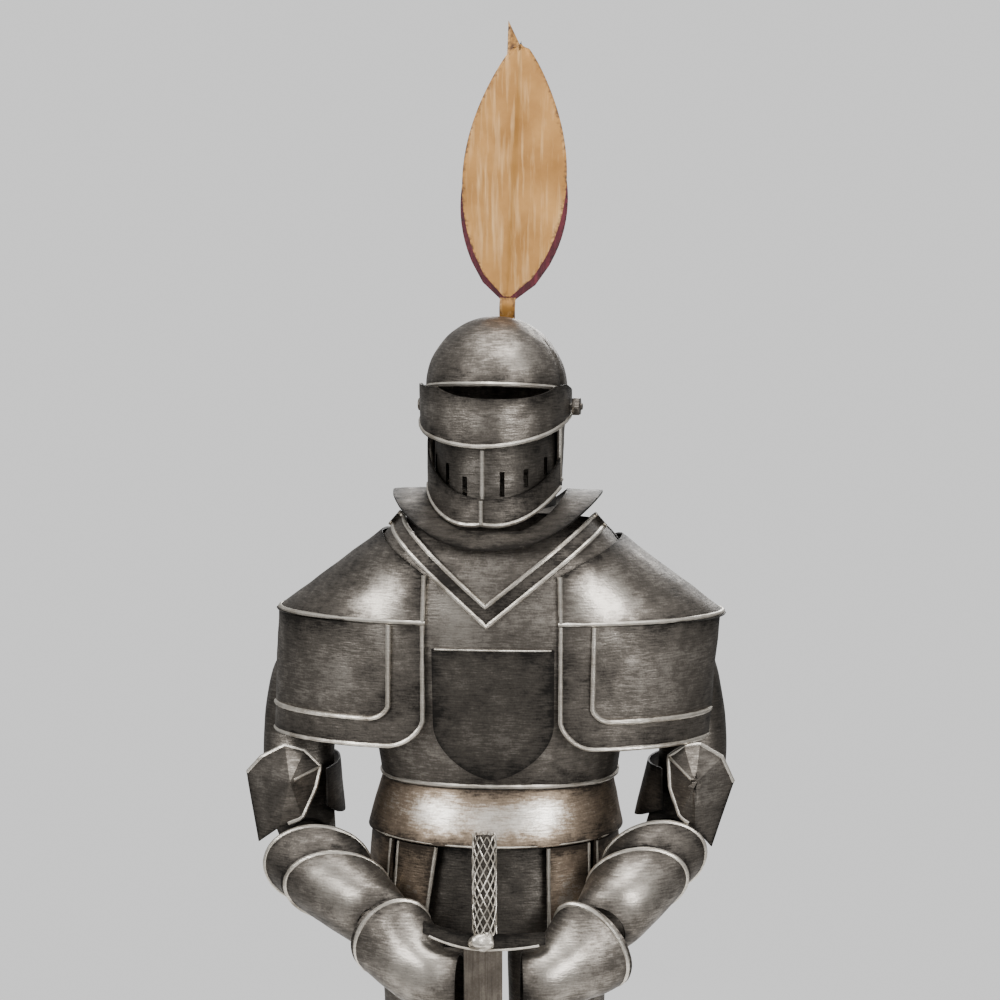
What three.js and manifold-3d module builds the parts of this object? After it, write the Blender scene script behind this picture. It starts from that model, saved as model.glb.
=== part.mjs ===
// Ornamental knight in sheet iron, hands on a long sword, on a low base.
// Millimetres, +Z up, the figure faces -Y, and the origin is the middle of the base's underside.
import * as THREE from 'three';
import { mergeVertices } from 'three/addons/utils/BufferGeometryUtils.js';
import Module from 'manifold-3d';

const wasm = await Module();
wasm.setup();

// Driving dimensions
const SHEET = 1.2;
const WIRE = 1.5;
const GAP = 0.3;
const BASE = { width: 306, depth: 236, height: 22, edge: 3, corner: 9 };
const SOLE = BASE.height + GAP;

const HELMET = { x: -2, turn: THREE.MathUtils.degToRad(-6) };
const SKULL = { side: 41.4, depth: 45, base: 750, brow: 747.8, browRise: 5.4, browEnd: 76, napeStart: 86 };
const VISOR = { side: 44.2, depth: 54, pivotZ: 739, squareness: 2.2, ear: 97 };
const BEVOR = { side: 35.8, depth: 45.5, top: 723, bottom: 680, slotWidth: 4 };
const CHIN = { side: 40.4, depth: 48.5, end: 80, low: 672.2, rise: 20 };
const COLLAR = { x: -1.2, side: 62.8, depth: 66.5, front: 660.5, rise: 27.5 };
const PLUME = { x: 3, y: 24, foot: 803, tip: 955.5, half: 31.5, fold: 14, slits: 10 };

const WAIST_Z = 518.6;
const SHOULDER_Z = 664;
const NECK_Z = 668.6;
const PAULDRON = { innerX: 39, outerX: 135.5, depth: 57, rimZ: 616.8, plateLow: 541, lameLow: 557.5 };
const BAND = { low: 485.5, x: -2.5, side: 76.5, depth: 68.5 };
const FAULD = { top: 484, low: 424 };
const SWORD = { y: -104, x: 0.2, guardZ: 440.4, guardHalf: 35, gripTop: 503.5, gripRadius: 7.2, blade: 22, bladeThick: 4 };

const TAU = Math.PI * 2;
const rad = THREE.MathUtils.degToRad;
const { lerp, clamp } = THREE.MathUtils;
const vec = (x, y, z) => new THREE.Vector3(x, y, z);
const spow = (value, power) => Math.sign(value) * Math.abs(value) ** power;
const even = (from, to, count) => Array.from({ length: count + 1 }, (_, i) => lerp(from, to, i / count));

// Colours of the finish
const FINISH = {
  iron: { color: 0x5c5751, roughness: 0.42, metalness: 0.9 },
  darkIron: { color: 0x3a3733, roughness: 0.5, metalness: 0.85 },
  warmIron: { color: 0x7c6c5c, roughness: 0.38, metalness: 0.9 },
  bladeIron: { color: 0x5d564e, roughness: 0.45, metalness: 0.9 },
  goldPaint: { color: 0xb07c3a, roughness: 0.55, metalness: 0.35 },
  redPaint: { color: 0x5a1420, roughness: 0.6, metalness: 0.1 },
  basePaint: { color: 0x2c2a28, roughness: 0.55, metalness: 0.7 },
};

const figure = new THREE.Group();
const helmet = new THREE.Group();
helmet.position.x = HELMET.x;
helmet.rotation.z = HELMET.turn;
figure.add(helmet);

function addPiece(name, geometry, finish, parent = figure) {
  const shape = geometry.clone();
  shape.computeVertexNormals();
  const mesh = new THREE.Mesh(shape, new THREE.MeshStandardMaterial(FINISH[finish]));
  mesh.name = name;
  parent.add(mesh);
  return mesh;
}

// A geometry with shared vertices, no collapsed triangles, and its faces turned outwards
function closed(geometry) {
  geometry.deleteAttribute('normal');
  geometry.deleteAttribute('uv');
  const merged = mergeVertices(geometry, 1e-3);
  const index = merged.index.array;
  const position = merged.attributes.position;
  const kept = [];
  for (let i = 0; i < index.length; i += 3) {
    const [a, b, c] = [index[i], index[i + 1], index[i + 2]];
    if (a !== b && b !== c && c !== a) kept.push(a, b, c);
  }
  const corner = (i) => vec(position.getX(i), position.getY(i), position.getZ(i));
  let volume = 0;
  for (let i = 0; i < kept.length; i += 3) {
    volume += corner(kept[i]).dot(corner(kept[i + 1]).cross(corner(kept[i + 2])));
  }
  if (volume < 0) {
    for (let i = 0; i < kept.length; i += 3) [kept[i + 1], kept[i + 2]] = [kept[i + 2], kept[i + 1]];
  }
  merged.setIndex(kept);
  return merged;
}

function toSolid(geometry) {
  return new wasm.Manifold(new wasm.Mesh({
    numProp: 3,
    vertProperties: new Float32Array(geometry.attributes.position.array),
    triVerts: new Uint32Array(geometry.index.array),
  }));
}

function toGeometry(solid) {
  const mesh = solid.getMesh();
  const geometry = new THREE.BufferGeometry();
  geometry.setAttribute('position', new THREE.BufferAttribute(mesh.vertProperties, 3));
  geometry.setIndex(new THREE.BufferAttribute(mesh.triVerts, 1));
  return geometry;
}

const join = (...parts) => toGeometry(parts.map(toSolid).reduce((a, b) => a.add(b)));
const cut = (body, ...tools) => toGeometry(tools.map(toSolid).reduce((a, b) => a.subtract(b), toSolid(body)));

// The normal of a surface given by a function of two numbers
function normalAt(surface, u, v) {
  const step = 1e-3;
  const du = surface(u + step, v).sub(surface(u - step, v));
  const dv = surface(u, v + step).sub(surface(u, v - step));
  return du.cross(dv).normalize();
}

// Moves the vertices of a unit geometry onto surface(u, v), half the thickness to each side of it
function bend(geometry, surface, read, thick, lift) {
  const position = geometry.attributes.position;
  for (let i = 0; i < position.count; i += 1) {
    const [u, v, w] = read(position.getX(i), position.getY(i), position.getZ(i));
    const [thickness, height] = [thick, lift].map((value) => (typeof value === 'function' ? value(u, v) : value));
    const point = surface(u, v).addScaledVector(normalAt(surface, u, v), height + thickness * (w - 0.5));
    position.setXYZ(i, point.x, point.y, point.z);
  }
  return closed(geometry);
}

const pick = (list, t) => list[Math.round(t * (list.length - 1))];

// Bent sheet over a grid of lines us by vs
function sheet(surface, us, vs, { thick = SHEET, lift = 0 } = {}) {
  const box = new THREE.BoxGeometry(1, 1, 1, us.length - 1, vs.length - 1, 1);
  return bend(box, surface, (x, y, z) => [pick(us, x + 0.5), pick(vs, y + 0.5), z + 0.5], thick, lift);
}

// Closed sleeve: u runs once round, vs are the rings along it
function sleeve(surface, count, vs, { thick = SHEET, lift = 0 } = {}) {
  const last = vs.length - 1;
  const outline = even(0, 1, last).map((t) => new THREE.Vector2(3, t));
  outline.push(...even(1, 0, last).map((t) => new THREE.Vector2(2, t)), new THREE.Vector2(3, 0));
  const ring = new THREE.LatheGeometry(outline, count);
  const read = (x, y, z) => [Math.atan2(x, z) / TAU, pick(vs, y), Math.hypot(x, z) - 2];
  return bend(ring, surface, read, thick, lift);
}

// Closed bowl: u runs once round in us, and v from the middle to the rim
function bowl(surface, us, vs, { thick = SHEET, lift = 0 } = {}) {
  const last = vs.length - 1;
  const outline = even(0, 1, last).map((t) => new THREE.Vector2(t, 1));
  outline.push(...even(1, 0, last).map((t) => new THREE.Vector2(t, 0)));
  const disc = new THREE.LatheGeometry(outline, us.length - 1);
  const read = (x, y, z) => {
    const reach = Math.hypot(x, z);
    const turn = reach > 0 ? (Math.atan2(x, z) / TAU + 1) % 1 : 0;
    return [pick(us, turn > 0.9999 ? 0 : turn), pick(vs, reach), y];
  };
  return bend(disc, surface, read, thick, lift);
}

// Lines across a sheet, in shares of its length, with a wire's three lines at each beaded end
function lines(length, inner, { start = true, end = true } = {}) {
  const bead = (2 * WIRE) / length;
  const head = start ? [0, bead / 2, bead] : [0];
  const tail = end ? [1 - bead, 1 - bead / 2, 1] : [1];
  return [...head, ...inner, ...tail];
}

// Thickness of a sheet whose edges are wired: u and v lists name the wired lines
function beaded(wiredU, wiredV) {
  const near = (list, value) => list.some((line) => Math.abs(line - value) < 1e-4);
  return (u, v) => (near(wiredU, u) || near(wiredV, v) ? 2 * WIRE : SHEET);
}

function block(width, depth, height, x, y, z) {
  return closed(new THREE.BoxGeometry(width, depth, height).translate(x, y, z));
}

// Values listed by height, read in between
function profile(rows) {
  return (z) => {
    const last = rows.length - 1;
    const i = clamp(rows.findIndex((row) => row[0] > z) - 1, 0, last - 1);
    const from = z >= rows[last][0] ? last - 1 : i;
    const t = (z - rows[from][0]) / (rows[from + 1][0] - rows[from][0]);
    return rows[from].slice(1).map((value, k) => lerp(value, rows[from + 1][k + 1], t));
  };
}

// A point on an oval of half width a, half depth b and squareness n, from its front at angle 0
const ovalPoint = (a, b, n, angle, z) => vec(
  a * spow(Math.sin(angle), 2 / n),
  -b * spow(Math.cos(angle), 2 / n),
  z,
);

// Base
function buildBase() {
  const { width, depth, height, edge, corner } = BASE;
  const shape = new THREE.Shape();
  const [w, d] = [width / 2 - edge, depth / 2 - edge];
  shape.absarc(w - corner, -d + corner, corner, -Math.PI / 2, 0);
  shape.absarc(w - corner, d - corner, corner, 0, Math.PI / 2);
  shape.absarc(-w + corner, d - corner, corner, Math.PI / 2, Math.PI);
  shape.absarc(-w + corner, -d + corner, corner, Math.PI, Math.PI * 1.5);
  const slab = new THREE.ExtrudeGeometry(shape, {
    depth: height - 2 * edge, curveSegments: 3, bevelSegments: 1, bevelSize: edge, bevelThickness: edge,
  });
  addPiece('base', closed(slab.translate(0, 0, edge)), 'basePaint');
}

// Torso outline: half width, half depth and squareness by height
const torso = profile([
  [WAIST_Z - WIRE, 70.6, 53.6, 2.4],
  [548, 75, 55, 2.6],
  [582, 80, 56.5, 2.9],
  [615, 82, 57, 3],
  [640, 79, 55, 3],
  [655, 74, 51.5, 2.8],
  [SHOULDER_Z, 67, 47, 2.6],
  [NECK_Z, 62, 44.5, 2.5],
]);

// Depth of the chest's front face at a place seen from the front
function chestY(x, z) {
  const [a, b, n] = torso(z);
  const reach = Math.min(Math.abs(x) / a, 0.995);
  return -b * (1 - reach ** n) ** (1 / n);
}

function buildTorso() {
  const sideCut = rad(90 - 1.2);
  const heights = [548, 582, 615, 640, 655, SHOULDER_Z];
  const [low, high] = [WAIST_Z - WIRE, NECK_Z];
  const rows = heights.map((z) => (z - low) / (high - low));
  const vs = lines(high - low, rows, { end: false });
  const thick = beaded([], [vs[1]]);
  for (const [name, turn, count] of [['breastplate', 0, 10], ['backplate', Math.PI, 8]]) {
    const surface = (u, v) => {
      const z = lerp(low, high, v);
      return ovalPoint(...torso(z), turn + lerp(-sideCut, sideCut, u), z);
    };
    addPiece(name, sheet(surface, even(0, 1, count), vs, { thick }), 'iron');
  }
}

function buildPlaque() {
  const [top, low, half, x0, shoulder] = [601, 523.5, 34, 0.8, 0.44];
  const surface = (u, v) => {
    const z = lerp(low, top, v);
    const round = 1 - clamp(v / shoulder, 0, 1);
    const width = 1 + half * Math.max(1 - round * round, 0) ** 0.7 + Math.max(v - shoulder, 0);
    const x = x0 + lerp(-width, width, u);
    return vec(x, chestY(x, z), z);
  };
  const vs = [0, 0.03, 0.09, 0.18, 0.3, 0.44, 1];
  addPiece('breast_plaque', sheet(surface, even(0, 1, 6), vs, { lift: SHEET + 3 * GAP }), 'darkIron');
}

// Pauldrons: a cap over the shoulder, a hanging plate and a shorter lame laid on it
const shoulderPlan = new THREE.CatmullRomCurve3(even(0, Math.PI, 16).map((angle) => {
  const { innerX, outerX, depth } = PAULDRON;
  return vec(innerX + (outerX - innerX) * spow(Math.sin(angle), 1.07), -depth * spow(Math.cos(angle), 1.07), 0);
}));
const PLAN_LENGTH = shoulderPlan.getLength();

const mirrored = (geometry, sign) => (sign < 0 ? geometry : closed(geometry.clone().scale(-1, 1, 1)));

function buildPauldron(name, sign, { lean, crown }) {
  const { innerX, outerX, rimZ, plateLow, lameLow } = PAULDRON;
  const rim = (u) => {
    const point = shoulderPlan.getPointAt(clamp(u, 0, 1));
    if (u < 0 || u > 1) point.x += (u < 0 ? u : 1 - u) * PLAN_LENGTH;
    return point;
  };
  const cap = (u, v) => {
    const s = Math.sin(Math.PI * u);
    const edge = rim(u);
    const top = [innerX + crown[0] * s, -55.5 * Math.cos(Math.PI * u), 643.5 + crown[1] * s];
    return vec(-lerp(edge.x, top[0], v), lerp(edge.y, top[1], v), lerp(rimZ - WIRE, top[2], v));
  };
  const capU = lines(PLAN_LENGTH, even(0.08, 0.92, 11));
  const capV = lines(60, [0.5], { end: false });
  const capThick = beaded([capU[1], capU[capU.length - 2]], [capV[1]]);
  addPiece(`${name}_pauldron_cap`, mirrored(sheet(cap, capU, capV, { thick: capThick }), sign), 'iron');

  // A plate hanging from the front to the outer side, leaning in, with a round lower corner in front
  const hanging = (from, top, low, corner, lift) => {
    const to = 0.49;
    const length = PLAN_LENGTH * (to - from);
    const share = corner / length;
    const surface = (u, v) => {
      const point = rim(lerp(from, to, u));
      const reach = 1 - clamp(u / share, 0, 1);
      const rise = corner * (1 - Math.sqrt(1 - reach * reach * 0.98));
      const z = lerp(low + rise, top, v);
      const inward = (lerp(...lean, (rimZ - z) / (rimZ - plateLow)) * (point.x - innerX)) / (outerX - innerX);
      return vec(inward - point.x, point.y, z);
    };
    const turn = [0.35, 0.68, 1].map((t) => t * share);
    const us = lines(length, [...turn, ...even(2 * share, 1, 5)], { end: false }).slice(0, -1);
    const vs = lines(top - low, [], { end: false });
    const thick = beaded([us[1]], [vs[1]]);
    return mirrored(sheet(surface, us, vs, { thick, lift }), sign);
  };
  const top = rimZ - WIRE - 2 * GAP;
  addPiece(`${name}_pauldron_plate`, hanging(0, top, plateLow, 24, 0), 'iron');
  addPiece(`${name}_pauldron_lame`, hanging(0.084, top, lameLow, 14, -2.3), 'iron');
}

// Neckline band: one strip wired on both edges, from shoulder to breast point to shoulder
function buildNeckline() {
  const surface = (u, v) => {
    const sign = u < 0.5 ? -1 : 1;
    const t = Math.abs(2 * u - 1);
    const outer = [lerp(-2.8, sign * 65, t), lerp(613.5, 669.5, t)];
    const inner = [lerp(-3.6, sign * 58.5, t), lerp(627, 677, t)];
    const [x, z] = [lerp(outer[0], inner[0], v), lerp(outer[1], inner[1], v)];
    return vec(x, Math.min(chestY(x, z), -8) - 2.8 - 6 * t ** 3, z);
  };
  const us = even(0, 1, 14);
  const vs = lines(12, []);
  const thick = beaded([], [vs[1], vs[vs.length - 2]]);
  addPiece('neckline_band', sheet(surface, us, vs, { thick }), 'iron');
}

// Helmet, in its own turned frame; angles are counted from the face
const degrees = (u) => (u > 0.5 ? u - 1 : u) * 360;

function browZ(angle) {
  return SKULL.brow + SKULL.browRise * (1 - (Math.min(Math.abs(angle), 80) / 80) ** 2);
}

function chinZ(angle) {
  const dip = Math.abs(angle) < 90 ? 3.4 * Math.max(0, Math.sin(rad(2 * angle))) : 0;
  return CHIN.low + CHIN.rise * Math.abs(Math.sin(rad(angle))) ** 2.2 - dip;
}

function skullPoint(u, v) {
  const angle = degrees((u + 1) % 1);
  const { side, depth, base, browEnd, napeStart } = SKULL;
  const step = clamp((Math.abs(angle) - browEnd) / (napeStart - browEnd), 0, 1);
  const low = lerp(browZ(angle), chinZ(angle), step);
  const arc = (side * Math.PI) / 2;
  const run = v * (arc + base - low);
  const tilt = Math.min(run / side, Math.PI / 2);
  const drop = Math.max(run - arc, 0);
  const reach = Math.sin(tilt) * (1 - 0.05 * (drop / 40));
  const turn = rad(angle);
  return vec(side * reach * Math.sin(turn), -depth * reach * Math.cos(turn), base + side * Math.cos(tilt) - drop);
}

const pivotHole = () => closed(new THREE.CylinderGeometry(2.3, 2.3, 120, 8)
  .rotateZ(Math.PI / 2).translate(0, 0, VISOR.pivotZ));

function buildSkull() {
  const { browEnd, napeStart } = SKULL;
  const front = even(0, browEnd, 5);
  const back = even(napeStart, 180, 5);
  const half = [...front, ...back];
  const us = [...half, ...half.slice(1, -1).reverse().map((angle) => 360 - angle), 360].map((angle) => angle / 360);
  const vs = [0, 0.2, 0.42, 0.64, 0.84, 0.95, 0.975, 1];
  const surface = (u, v) => {
    const tiny = 0.004;
    if (v >= tiny) return skullPoint(u, v);
    const rim = skullPoint(u, tiny);
    const crown = skullPoint(u, 0);
    return crown.lerp(rim, v / tiny);
  };
  const thick = beaded([], [vs[6]]);
  addPiece('helmet_skull', cut(bowl(surface, us, vs, { thick }), pivotHole()), 'iron', helmet);
}

function visorPoint(angle, z) {
  return ovalPoint(VISOR.side, VISOR.depth, VISOR.squareness, rad(angle), z);
}

const visorLow = (angle) => 717.6 + 15 * (Math.abs(angle) / 90) ** 1.6 + Math.max(Math.abs(angle) - 90, 0) * 0.4;
const visorHigh = (angle) => 746.5 + 6.2 * Math.min(Math.abs((angle - 15) / 50), 1) ** 2.6
  - Math.max(Math.abs(angle) - 80, 0) * 0.25;

function buildVisor() {
  const surface = (u, v) => {
    const angle = lerp(-VISOR.ear, VISOR.ear, u);
    return visorPoint(angle, lerp(visorLow(angle), visorHigh(angle), v));
  };
  const us = even(0, 1, 16);
  const vs = lines(24, [0.55], { end: false });
  const thick = beaded([], [vs[1]]);
  addPiece('helmet_visor', cut(sheet(surface, us, vs, { thick }), pivotHole()), 'iron', helmet);
}

function buildBevor() {
  const { side, depth, top, bottom, slotWidth } = BEVOR;
  const surface = (u, v) => ovalPoint(side, depth, 2, rad(lerp(-88, 88, u)), lerp(bottom, top, v));
  const ridge = 0.014;
  const us = [...even(0, 0.5 - ridge, 5), 0.5, ...even(0.5 + ridge, 1, 5)];
  const plate = sheet(surface, us, [0, 1], { thick: (u) => (u === 0.5 ? 2 * WIRE + 1 : SHEET) });
  const slots = [[-62, 700, 711], [-38, 695, 707], [-17, 688.5, 701], [19, 688.5, 703.5], [42, 693.5, 704.5],
    [66, 700, 710]].map(([angle, low, high]) => {
    const tool = new THREE.BoxGeometry(slotWidth, 14, high - low);
    const at = ovalPoint(side, depth, 2, rad(angle), (low + high) / 2);
    const facing = Math.atan2(at.x / side ** 2, -at.y / depth ** 2);
    return closed(tool.rotateZ(facing).translate(at.x, at.y, at.z));
  });
  addPiece('helmet_bevor', cut(plate, ...slots), 'darkIron', helmet);
}

function buildChinBand() {
  const top = (angle) => 687.6 + 30 * ((angle - 8) / 85) ** 2;
  const surface = (u, v) => {
    const angle = lerp(-CHIN.end, CHIN.end, u);
    return ovalPoint(CHIN.side, CHIN.depth, 2, rad(angle), lerp(chinZ(angle), top(angle), v));
  };
  const us = even(0, 1, 14);
  const vs = lines(17, [], { end: false });
  addPiece('helmet_chin_band', sheet(surface, us, vs, { thick: beaded([], [vs[1]]) }), 'iron', helmet);
}

function buildPivots() {
  const along = (geometry, from, to) => closed(geometry.rotateZ(-Math.PI / 2).translate((from + to) / 2, 0, VISOR.pivotZ));
  const disc = (radius, from, to, sides = 8) => along(
    new THREE.CylinderGeometry(radius, radius, Math.abs(to - from), sides), from, to,
  );
  const visorFace = VISOR.side + WIRE + GAP;
  const skullFace = SKULL.side - SHEET - 5 * GAP;
  const shank = (sign) => disc(2, sign * (skullFace - 1), sign * (visorFace + 1));
  const head = (sign) => disc(3.6, sign * (skullFace - 1.6), sign * skullFace);
  const nut = disc(5.8, visorFace, visorFace + 4.6, 6);
  const tail = disc(2, visorFace + 4, visorFace + 6);
  addPiece('visor_bolt', join(shank(1), head(1), nut, tail), 'darkIron', helmet);
  addPiece('visor_rivet', join(shank(-1), head(-1), disc(3.8, -visorFace, -visorFace - 1.8)), 'iron', helmet);
}

function buildCollar() {
  const surface = (u, v) => {
    const angle = degrees((u + 1) % 1);
    const swing = Math.abs(Math.sin(rad(angle))) ** 2.4;
    const inner = ovalPoint(41.5, 50.5, 2, rad(angle), chinZ(angle) - 2 * WIRE - 2 * GAP);
    const outer = ovalPoint(COLLAR.side, COLLAR.depth, 2, rad(angle), COLLAR.front + COLLAR.rise * swing);
    return outer.lerp(inner, v).add(vec(COLLAR.x, 0, 0));
  };
  addPiece('gorget_collar', sleeve(surface, 20, [0, 1]), 'iron');
}

// Plume: two folded leaves cut like feathers, on a stem soldered to the back of the skull
function leafHalf(sign, { length, half, slits, depth, thick, angle }) {
  const edge = (t) => half * Math.sin(Math.PI * t ** 0.92) ** 0.72 + 2.2 * (1 - t);
  const shape = new THREE.Shape();
  shape.moveTo(0, 0);
  shape.lineTo(edge(0), 0);
  for (let i = 0; i < slits; i += 1) {
    const t = 0.14 + (0.76 * i) / slits;
    const open = 0.006;
    const root = Math.max(t - 0.075, 0.03);
    shape.lineTo(edge(t), t * length);
    if (depth > 0) shape.lineTo(edge(t) * (1 - depth), root * length);
    if (depth > 0) shape.lineTo(edge(t + open), (t + open) * length);
  }
  shape.lineTo(edge(0.95), 0.95 * length);
  shape.lineTo(edge(0.985), 0.985 * length);
  shape.lineTo(0, length);
  const plate = new THREE.ExtrudeGeometry(shape, { depth: thick, bevelEnabled: false });
  plate.rotateX(Math.PI / 2).rotateZ(-angle);
  if (sign < 0) plate.scale(-1, 1, 1);
  return closed(plate);
}

function buildPlume() {
  const { x, y, foot, tip, half, fold, slits } = PLUME;
  const lean = rad(3.2);
  const leaf = (name, finish, options, back, drop) => {
    const angle = rad(fold);
    const body = join(
      leafHalf(1, { ...options, angle }),
      leafHalf(-1, { ...options, angle }),
      block(2.4, 1.6, options.length - 6, 0, -0.5, options.length / 2),
    );
    body.rotateY(lean).translate(x - 1, y + back, foot - drop);
    addPiece(name, body, finish);
  };
  const length = tip - foot;
  leaf('plume_leaf_gold', 'goldPaint', { length, half, slits, depth: 0.55, thick: 1 }, 0, 0);
  leaf('plume_leaf_red', 'redPaint', { length: length * 0.86, half: half + 1, slits: 7, depth: 0.5, thick: 1 }, 4.2, 4);
}

// A folded strip from the leaf's foot, back and down to the skull
function buildStem() {
  const points = [vec(2.6, 24.4, 802.3), vec(2.2, 24.8, 796.5), vec(1.8, 30, 788), vec(1.5, 38.8, 777.5), vec(1.5, 45, 765)];
  const path = new THREE.CatmullRomCurve3(points);
  const surface = (u, v) => path.getPoint(clamp(v, 0, 1)).add(vec(lerp(-4.6, 4.6, u), 3 * Math.abs(u - 0.5) - 1, 0));
  addPiece('plume_stem', sheet(surface, [0, 0.49, 0.51, 1], even(0, 1, 8)), 'goldPaint');
}

// Waist band and fauld
function skirtPoint(angle, z) {
  const t = (WAIST_Z - z) / (WAIST_Z - BAND.low);
  const point = ovalPoint(lerp(68.5, BAND.side, t ** 0.9), lerp(53, BAND.depth, t), 2.1, angle, z);
  return point.setX(point.x + lerp(-1.2, BAND.x, t));
}

function buildFauld() {
  const bandSurface = (u, v) => skirtPoint(u * TAU, lerp(BAND.low, WAIST_Z - WIRE - GAP - 0.2, v));
  addPiece('waist_band', sleeve(bandSurface, 22, [0, 1]), 'warmIron');

  const { top, low } = FAULD;
  const fauldPoint = (degreesTurn, z, inset) => {
    const flare = (BAND.low - z) / (BAND.low - low);
    const side = BAND.side - inset + 4 * flare;
    const depth = BAND.depth - inset + 4 * flare;
    return ovalPoint(side, depth, 2.1, rad(degreesTurn), z).add(vec(BAND.x - 2 * flare, 0, 0));
  };
  const panel = (name, [topFrom, lowFrom], to, count, inset, wired, finish = 'warmIron') => {
    const surface = (u, v) => {
      const from = lerp(lowFrom, topFrom, v);
      return fauldPoint(lerp(from, to, u), lerp(low, top, v), inset);
    };
    const length = (Math.abs(to - topFrom) / 360) * 450;
    const us = wired ? lines(length, even(0, 1, count).slice(1, -1)) : even(0, 1, count);
    const thick = wired ? beaded([us[1], us[us.length - 2]], []) : SHEET;
    addPiece(name, sheet(surface, us, [0, 1], { thick }), finish);
  };
  panel('fauld_front_left', [-21.7, -26.2], -45.5, 2, 2.3, true);
  panel('fauld_front_right', [27.2, 28], 52, 2, 2.3, true);
  panel('fauld_side_left', [-48.5, -48.5], -128, 5, 2.3, true);
  panel('fauld_side_right', [55, 55], 128, 5, 2.3, true);
  panel('fauld_back', [131, 131], 229, 6, 2.3, true);
  panel('fauld_apron', [-36, -36], 38, 4, 9, false, 'darkIron');
}

// Arms, each lofted through rings: a middle, a sideways and an upward half axis
function loft(rings, count, vs, options) {
  const tracks = [0, 1, 2].map((k) => new THREE.CatmullRomCurve3(rings.map((ring) => vec(...ring[k]))));
  const surface = (u, v) => {
    const [middle, side, rise] = tracks.map((track) => track.getPoint(clamp(v, 0, 1)));
    const beyond = v - clamp(v, 0, 1);
    if (beyond !== 0) middle.addScaledVector(tracks[0].getTangent(v > 0.5 ? 1 : 0), beyond * tracks[0].getLength());
    return middle.addScaledVector(side, Math.cos(u * TAU)).addScaledVector(rise, Math.sin(u * TAU));
  };
  return sleeve(surface, count, vs, options);
}

// Faceted cop: flat triangles from a point to each corner of its edge
function facets(point, corners, inward) {
  const [apex, push] = [vec(...point), vec(...inward)];
  const edge = corners.map((corner) => vec(...corner));
  const outline = [[0, 1], [1, 1], [1, 0], [0, 0]].map((p) => new THREE.Vector2(...p));
  const fan = new THREE.LatheGeometry(outline, edge.length);
  const position = fan.attributes.position;
  for (let i = 0; i < position.count; i += 1) {
    const [x, y, z] = [position.getX(i), position.getY(i), position.getZ(i)];
    const corner = edge[Math.round((Math.atan2(x, z) / TAU + 1) * edge.length) % edge.length];
    const at = Math.hypot(x, z) > 0.5 ? corner.clone() : apex.clone();
    if (y < 0.5) at.add(push);
    position.setXYZ(i, at.x, at.y, at.z);
  }
  return closed(fan);
}

function buildArm(name, arm) {
  const { elbow, cuff, sleeveRings, hand, cop } = arm;
  addPiece(`${name}_upper_arm`, loft(elbow, 10, [0, 0.3, 0.6, 0.8, 1]), 'darkIron');

  const cuffV = [0, 0.05, 0.1, 1];
  addPiece(`${name}_elbow_cuff`, loft(cuff, 14, cuffV, { thick: beaded([], [cuffV[1]]) }), 'iron');
  const sleeveV = [0, 0.035, 0.07, 0.4, 1];
  addPiece(`${name}_vambrace`, loft(sleeveRings, 14, sleeveV, { thick: beaded([], [sleeveV[1]]) }), 'iron');
  const handV = [0, 0.035, 0.07, 0.3, 0.55, 0.8, 1];
  addPiece(`${name}_gauntlet`, loft(hand, 14, handV, { thick: beaded([], [handV[1]]) }), 'iron');

  addPiece(`${name}_couter`, facets(cop.point, cop.corners, [0, 1.6, 0]), 'iron');
  const { path, low, high, flare } = cop.wing;
  const curve = new THREE.CatmullRomCurve3(path.map(([x, y]) => vec(x, y, 0)));
  const wing = (u, v) => {
    const point = curve.getPoint(clamp(u, 0, 1));
    const middle = Math.sin(Math.PI * clamp(u, 0, 1));
    return vec(point.x + flare * (1 - v) * middle, point.y, lerp(low + 9 * (1 - middle), high, v));
  };
  addPiece(`${name}_couter_wing`, sheet(wing, even(0, 1, 9), [0, 1]), 'darkIron');
}

const LEFT_ARM = {
  elbow: [
    [[-104, 14, 607], [17, 0, 0], [0, 17, 0]],
    [[-121, 20, 575], [20, 0, 0], [0, 18, 0]],
    [[-126, 18, 532], [21.5, 0, 0], [0, 19, 3]],
    [[-122, -2, 500], [20, 0, 0], [0, 13, 13]],
    [[-112, -28, 475], [15, 0, 0], [0, 4, 15]],
  ],
  cuff: [
    [[-107, -36, 465.5], [31.6, 2, 0], [0, -5, 25]],
    [[-95.5, -49, 458.5], [28, 2, 0], [0, -5, 19]],
  ],
  sleeveRings: [
    [[-94, -53, 458.4], [31.3, 2, 0], [0, -7, 22]],
    [[-66, -75, 444.3], [21.3, 4, 0], [0, -7, 20.2]],
    [[-59.5, -78.5, 440.2], [16.5, 5, 0], [0, -5.5, 16]],
  ],
  hand: [
    [[-57, -82, 437], [21.5, 5, 2], [4, -5, 23]],
    [[-41.5, -90, 424], [14, 12, 2], [3, -4, 22]],
    [[-28, -98, 415], [5, 14, 0], [1, -2, 20.5]],
    [[-14.3, -100, 412], [2, 13, 0], [0, 0, 20]],
  ],
  cop: {
    point: [-121, -47, 517.5],
    corners: [
      [-151.5, -22, 517.6], [-142, -25, 527.9], [-127.3, -27, 535.8], [-115.3, -28, 533], [-105.7, -28, 523.5],
      [-108.4, -32, 510.7], [-115.8, -38, 493.4], [-129.2, -39, 488], [-143.1, -30, 477],
    ],
    wing: { path: [[-102, -27], [-99.5, -14], [-99, 4], [-104, 24], [-114, 38]], low: 490, high: 522, flare: 3 },
  },
};

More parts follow.
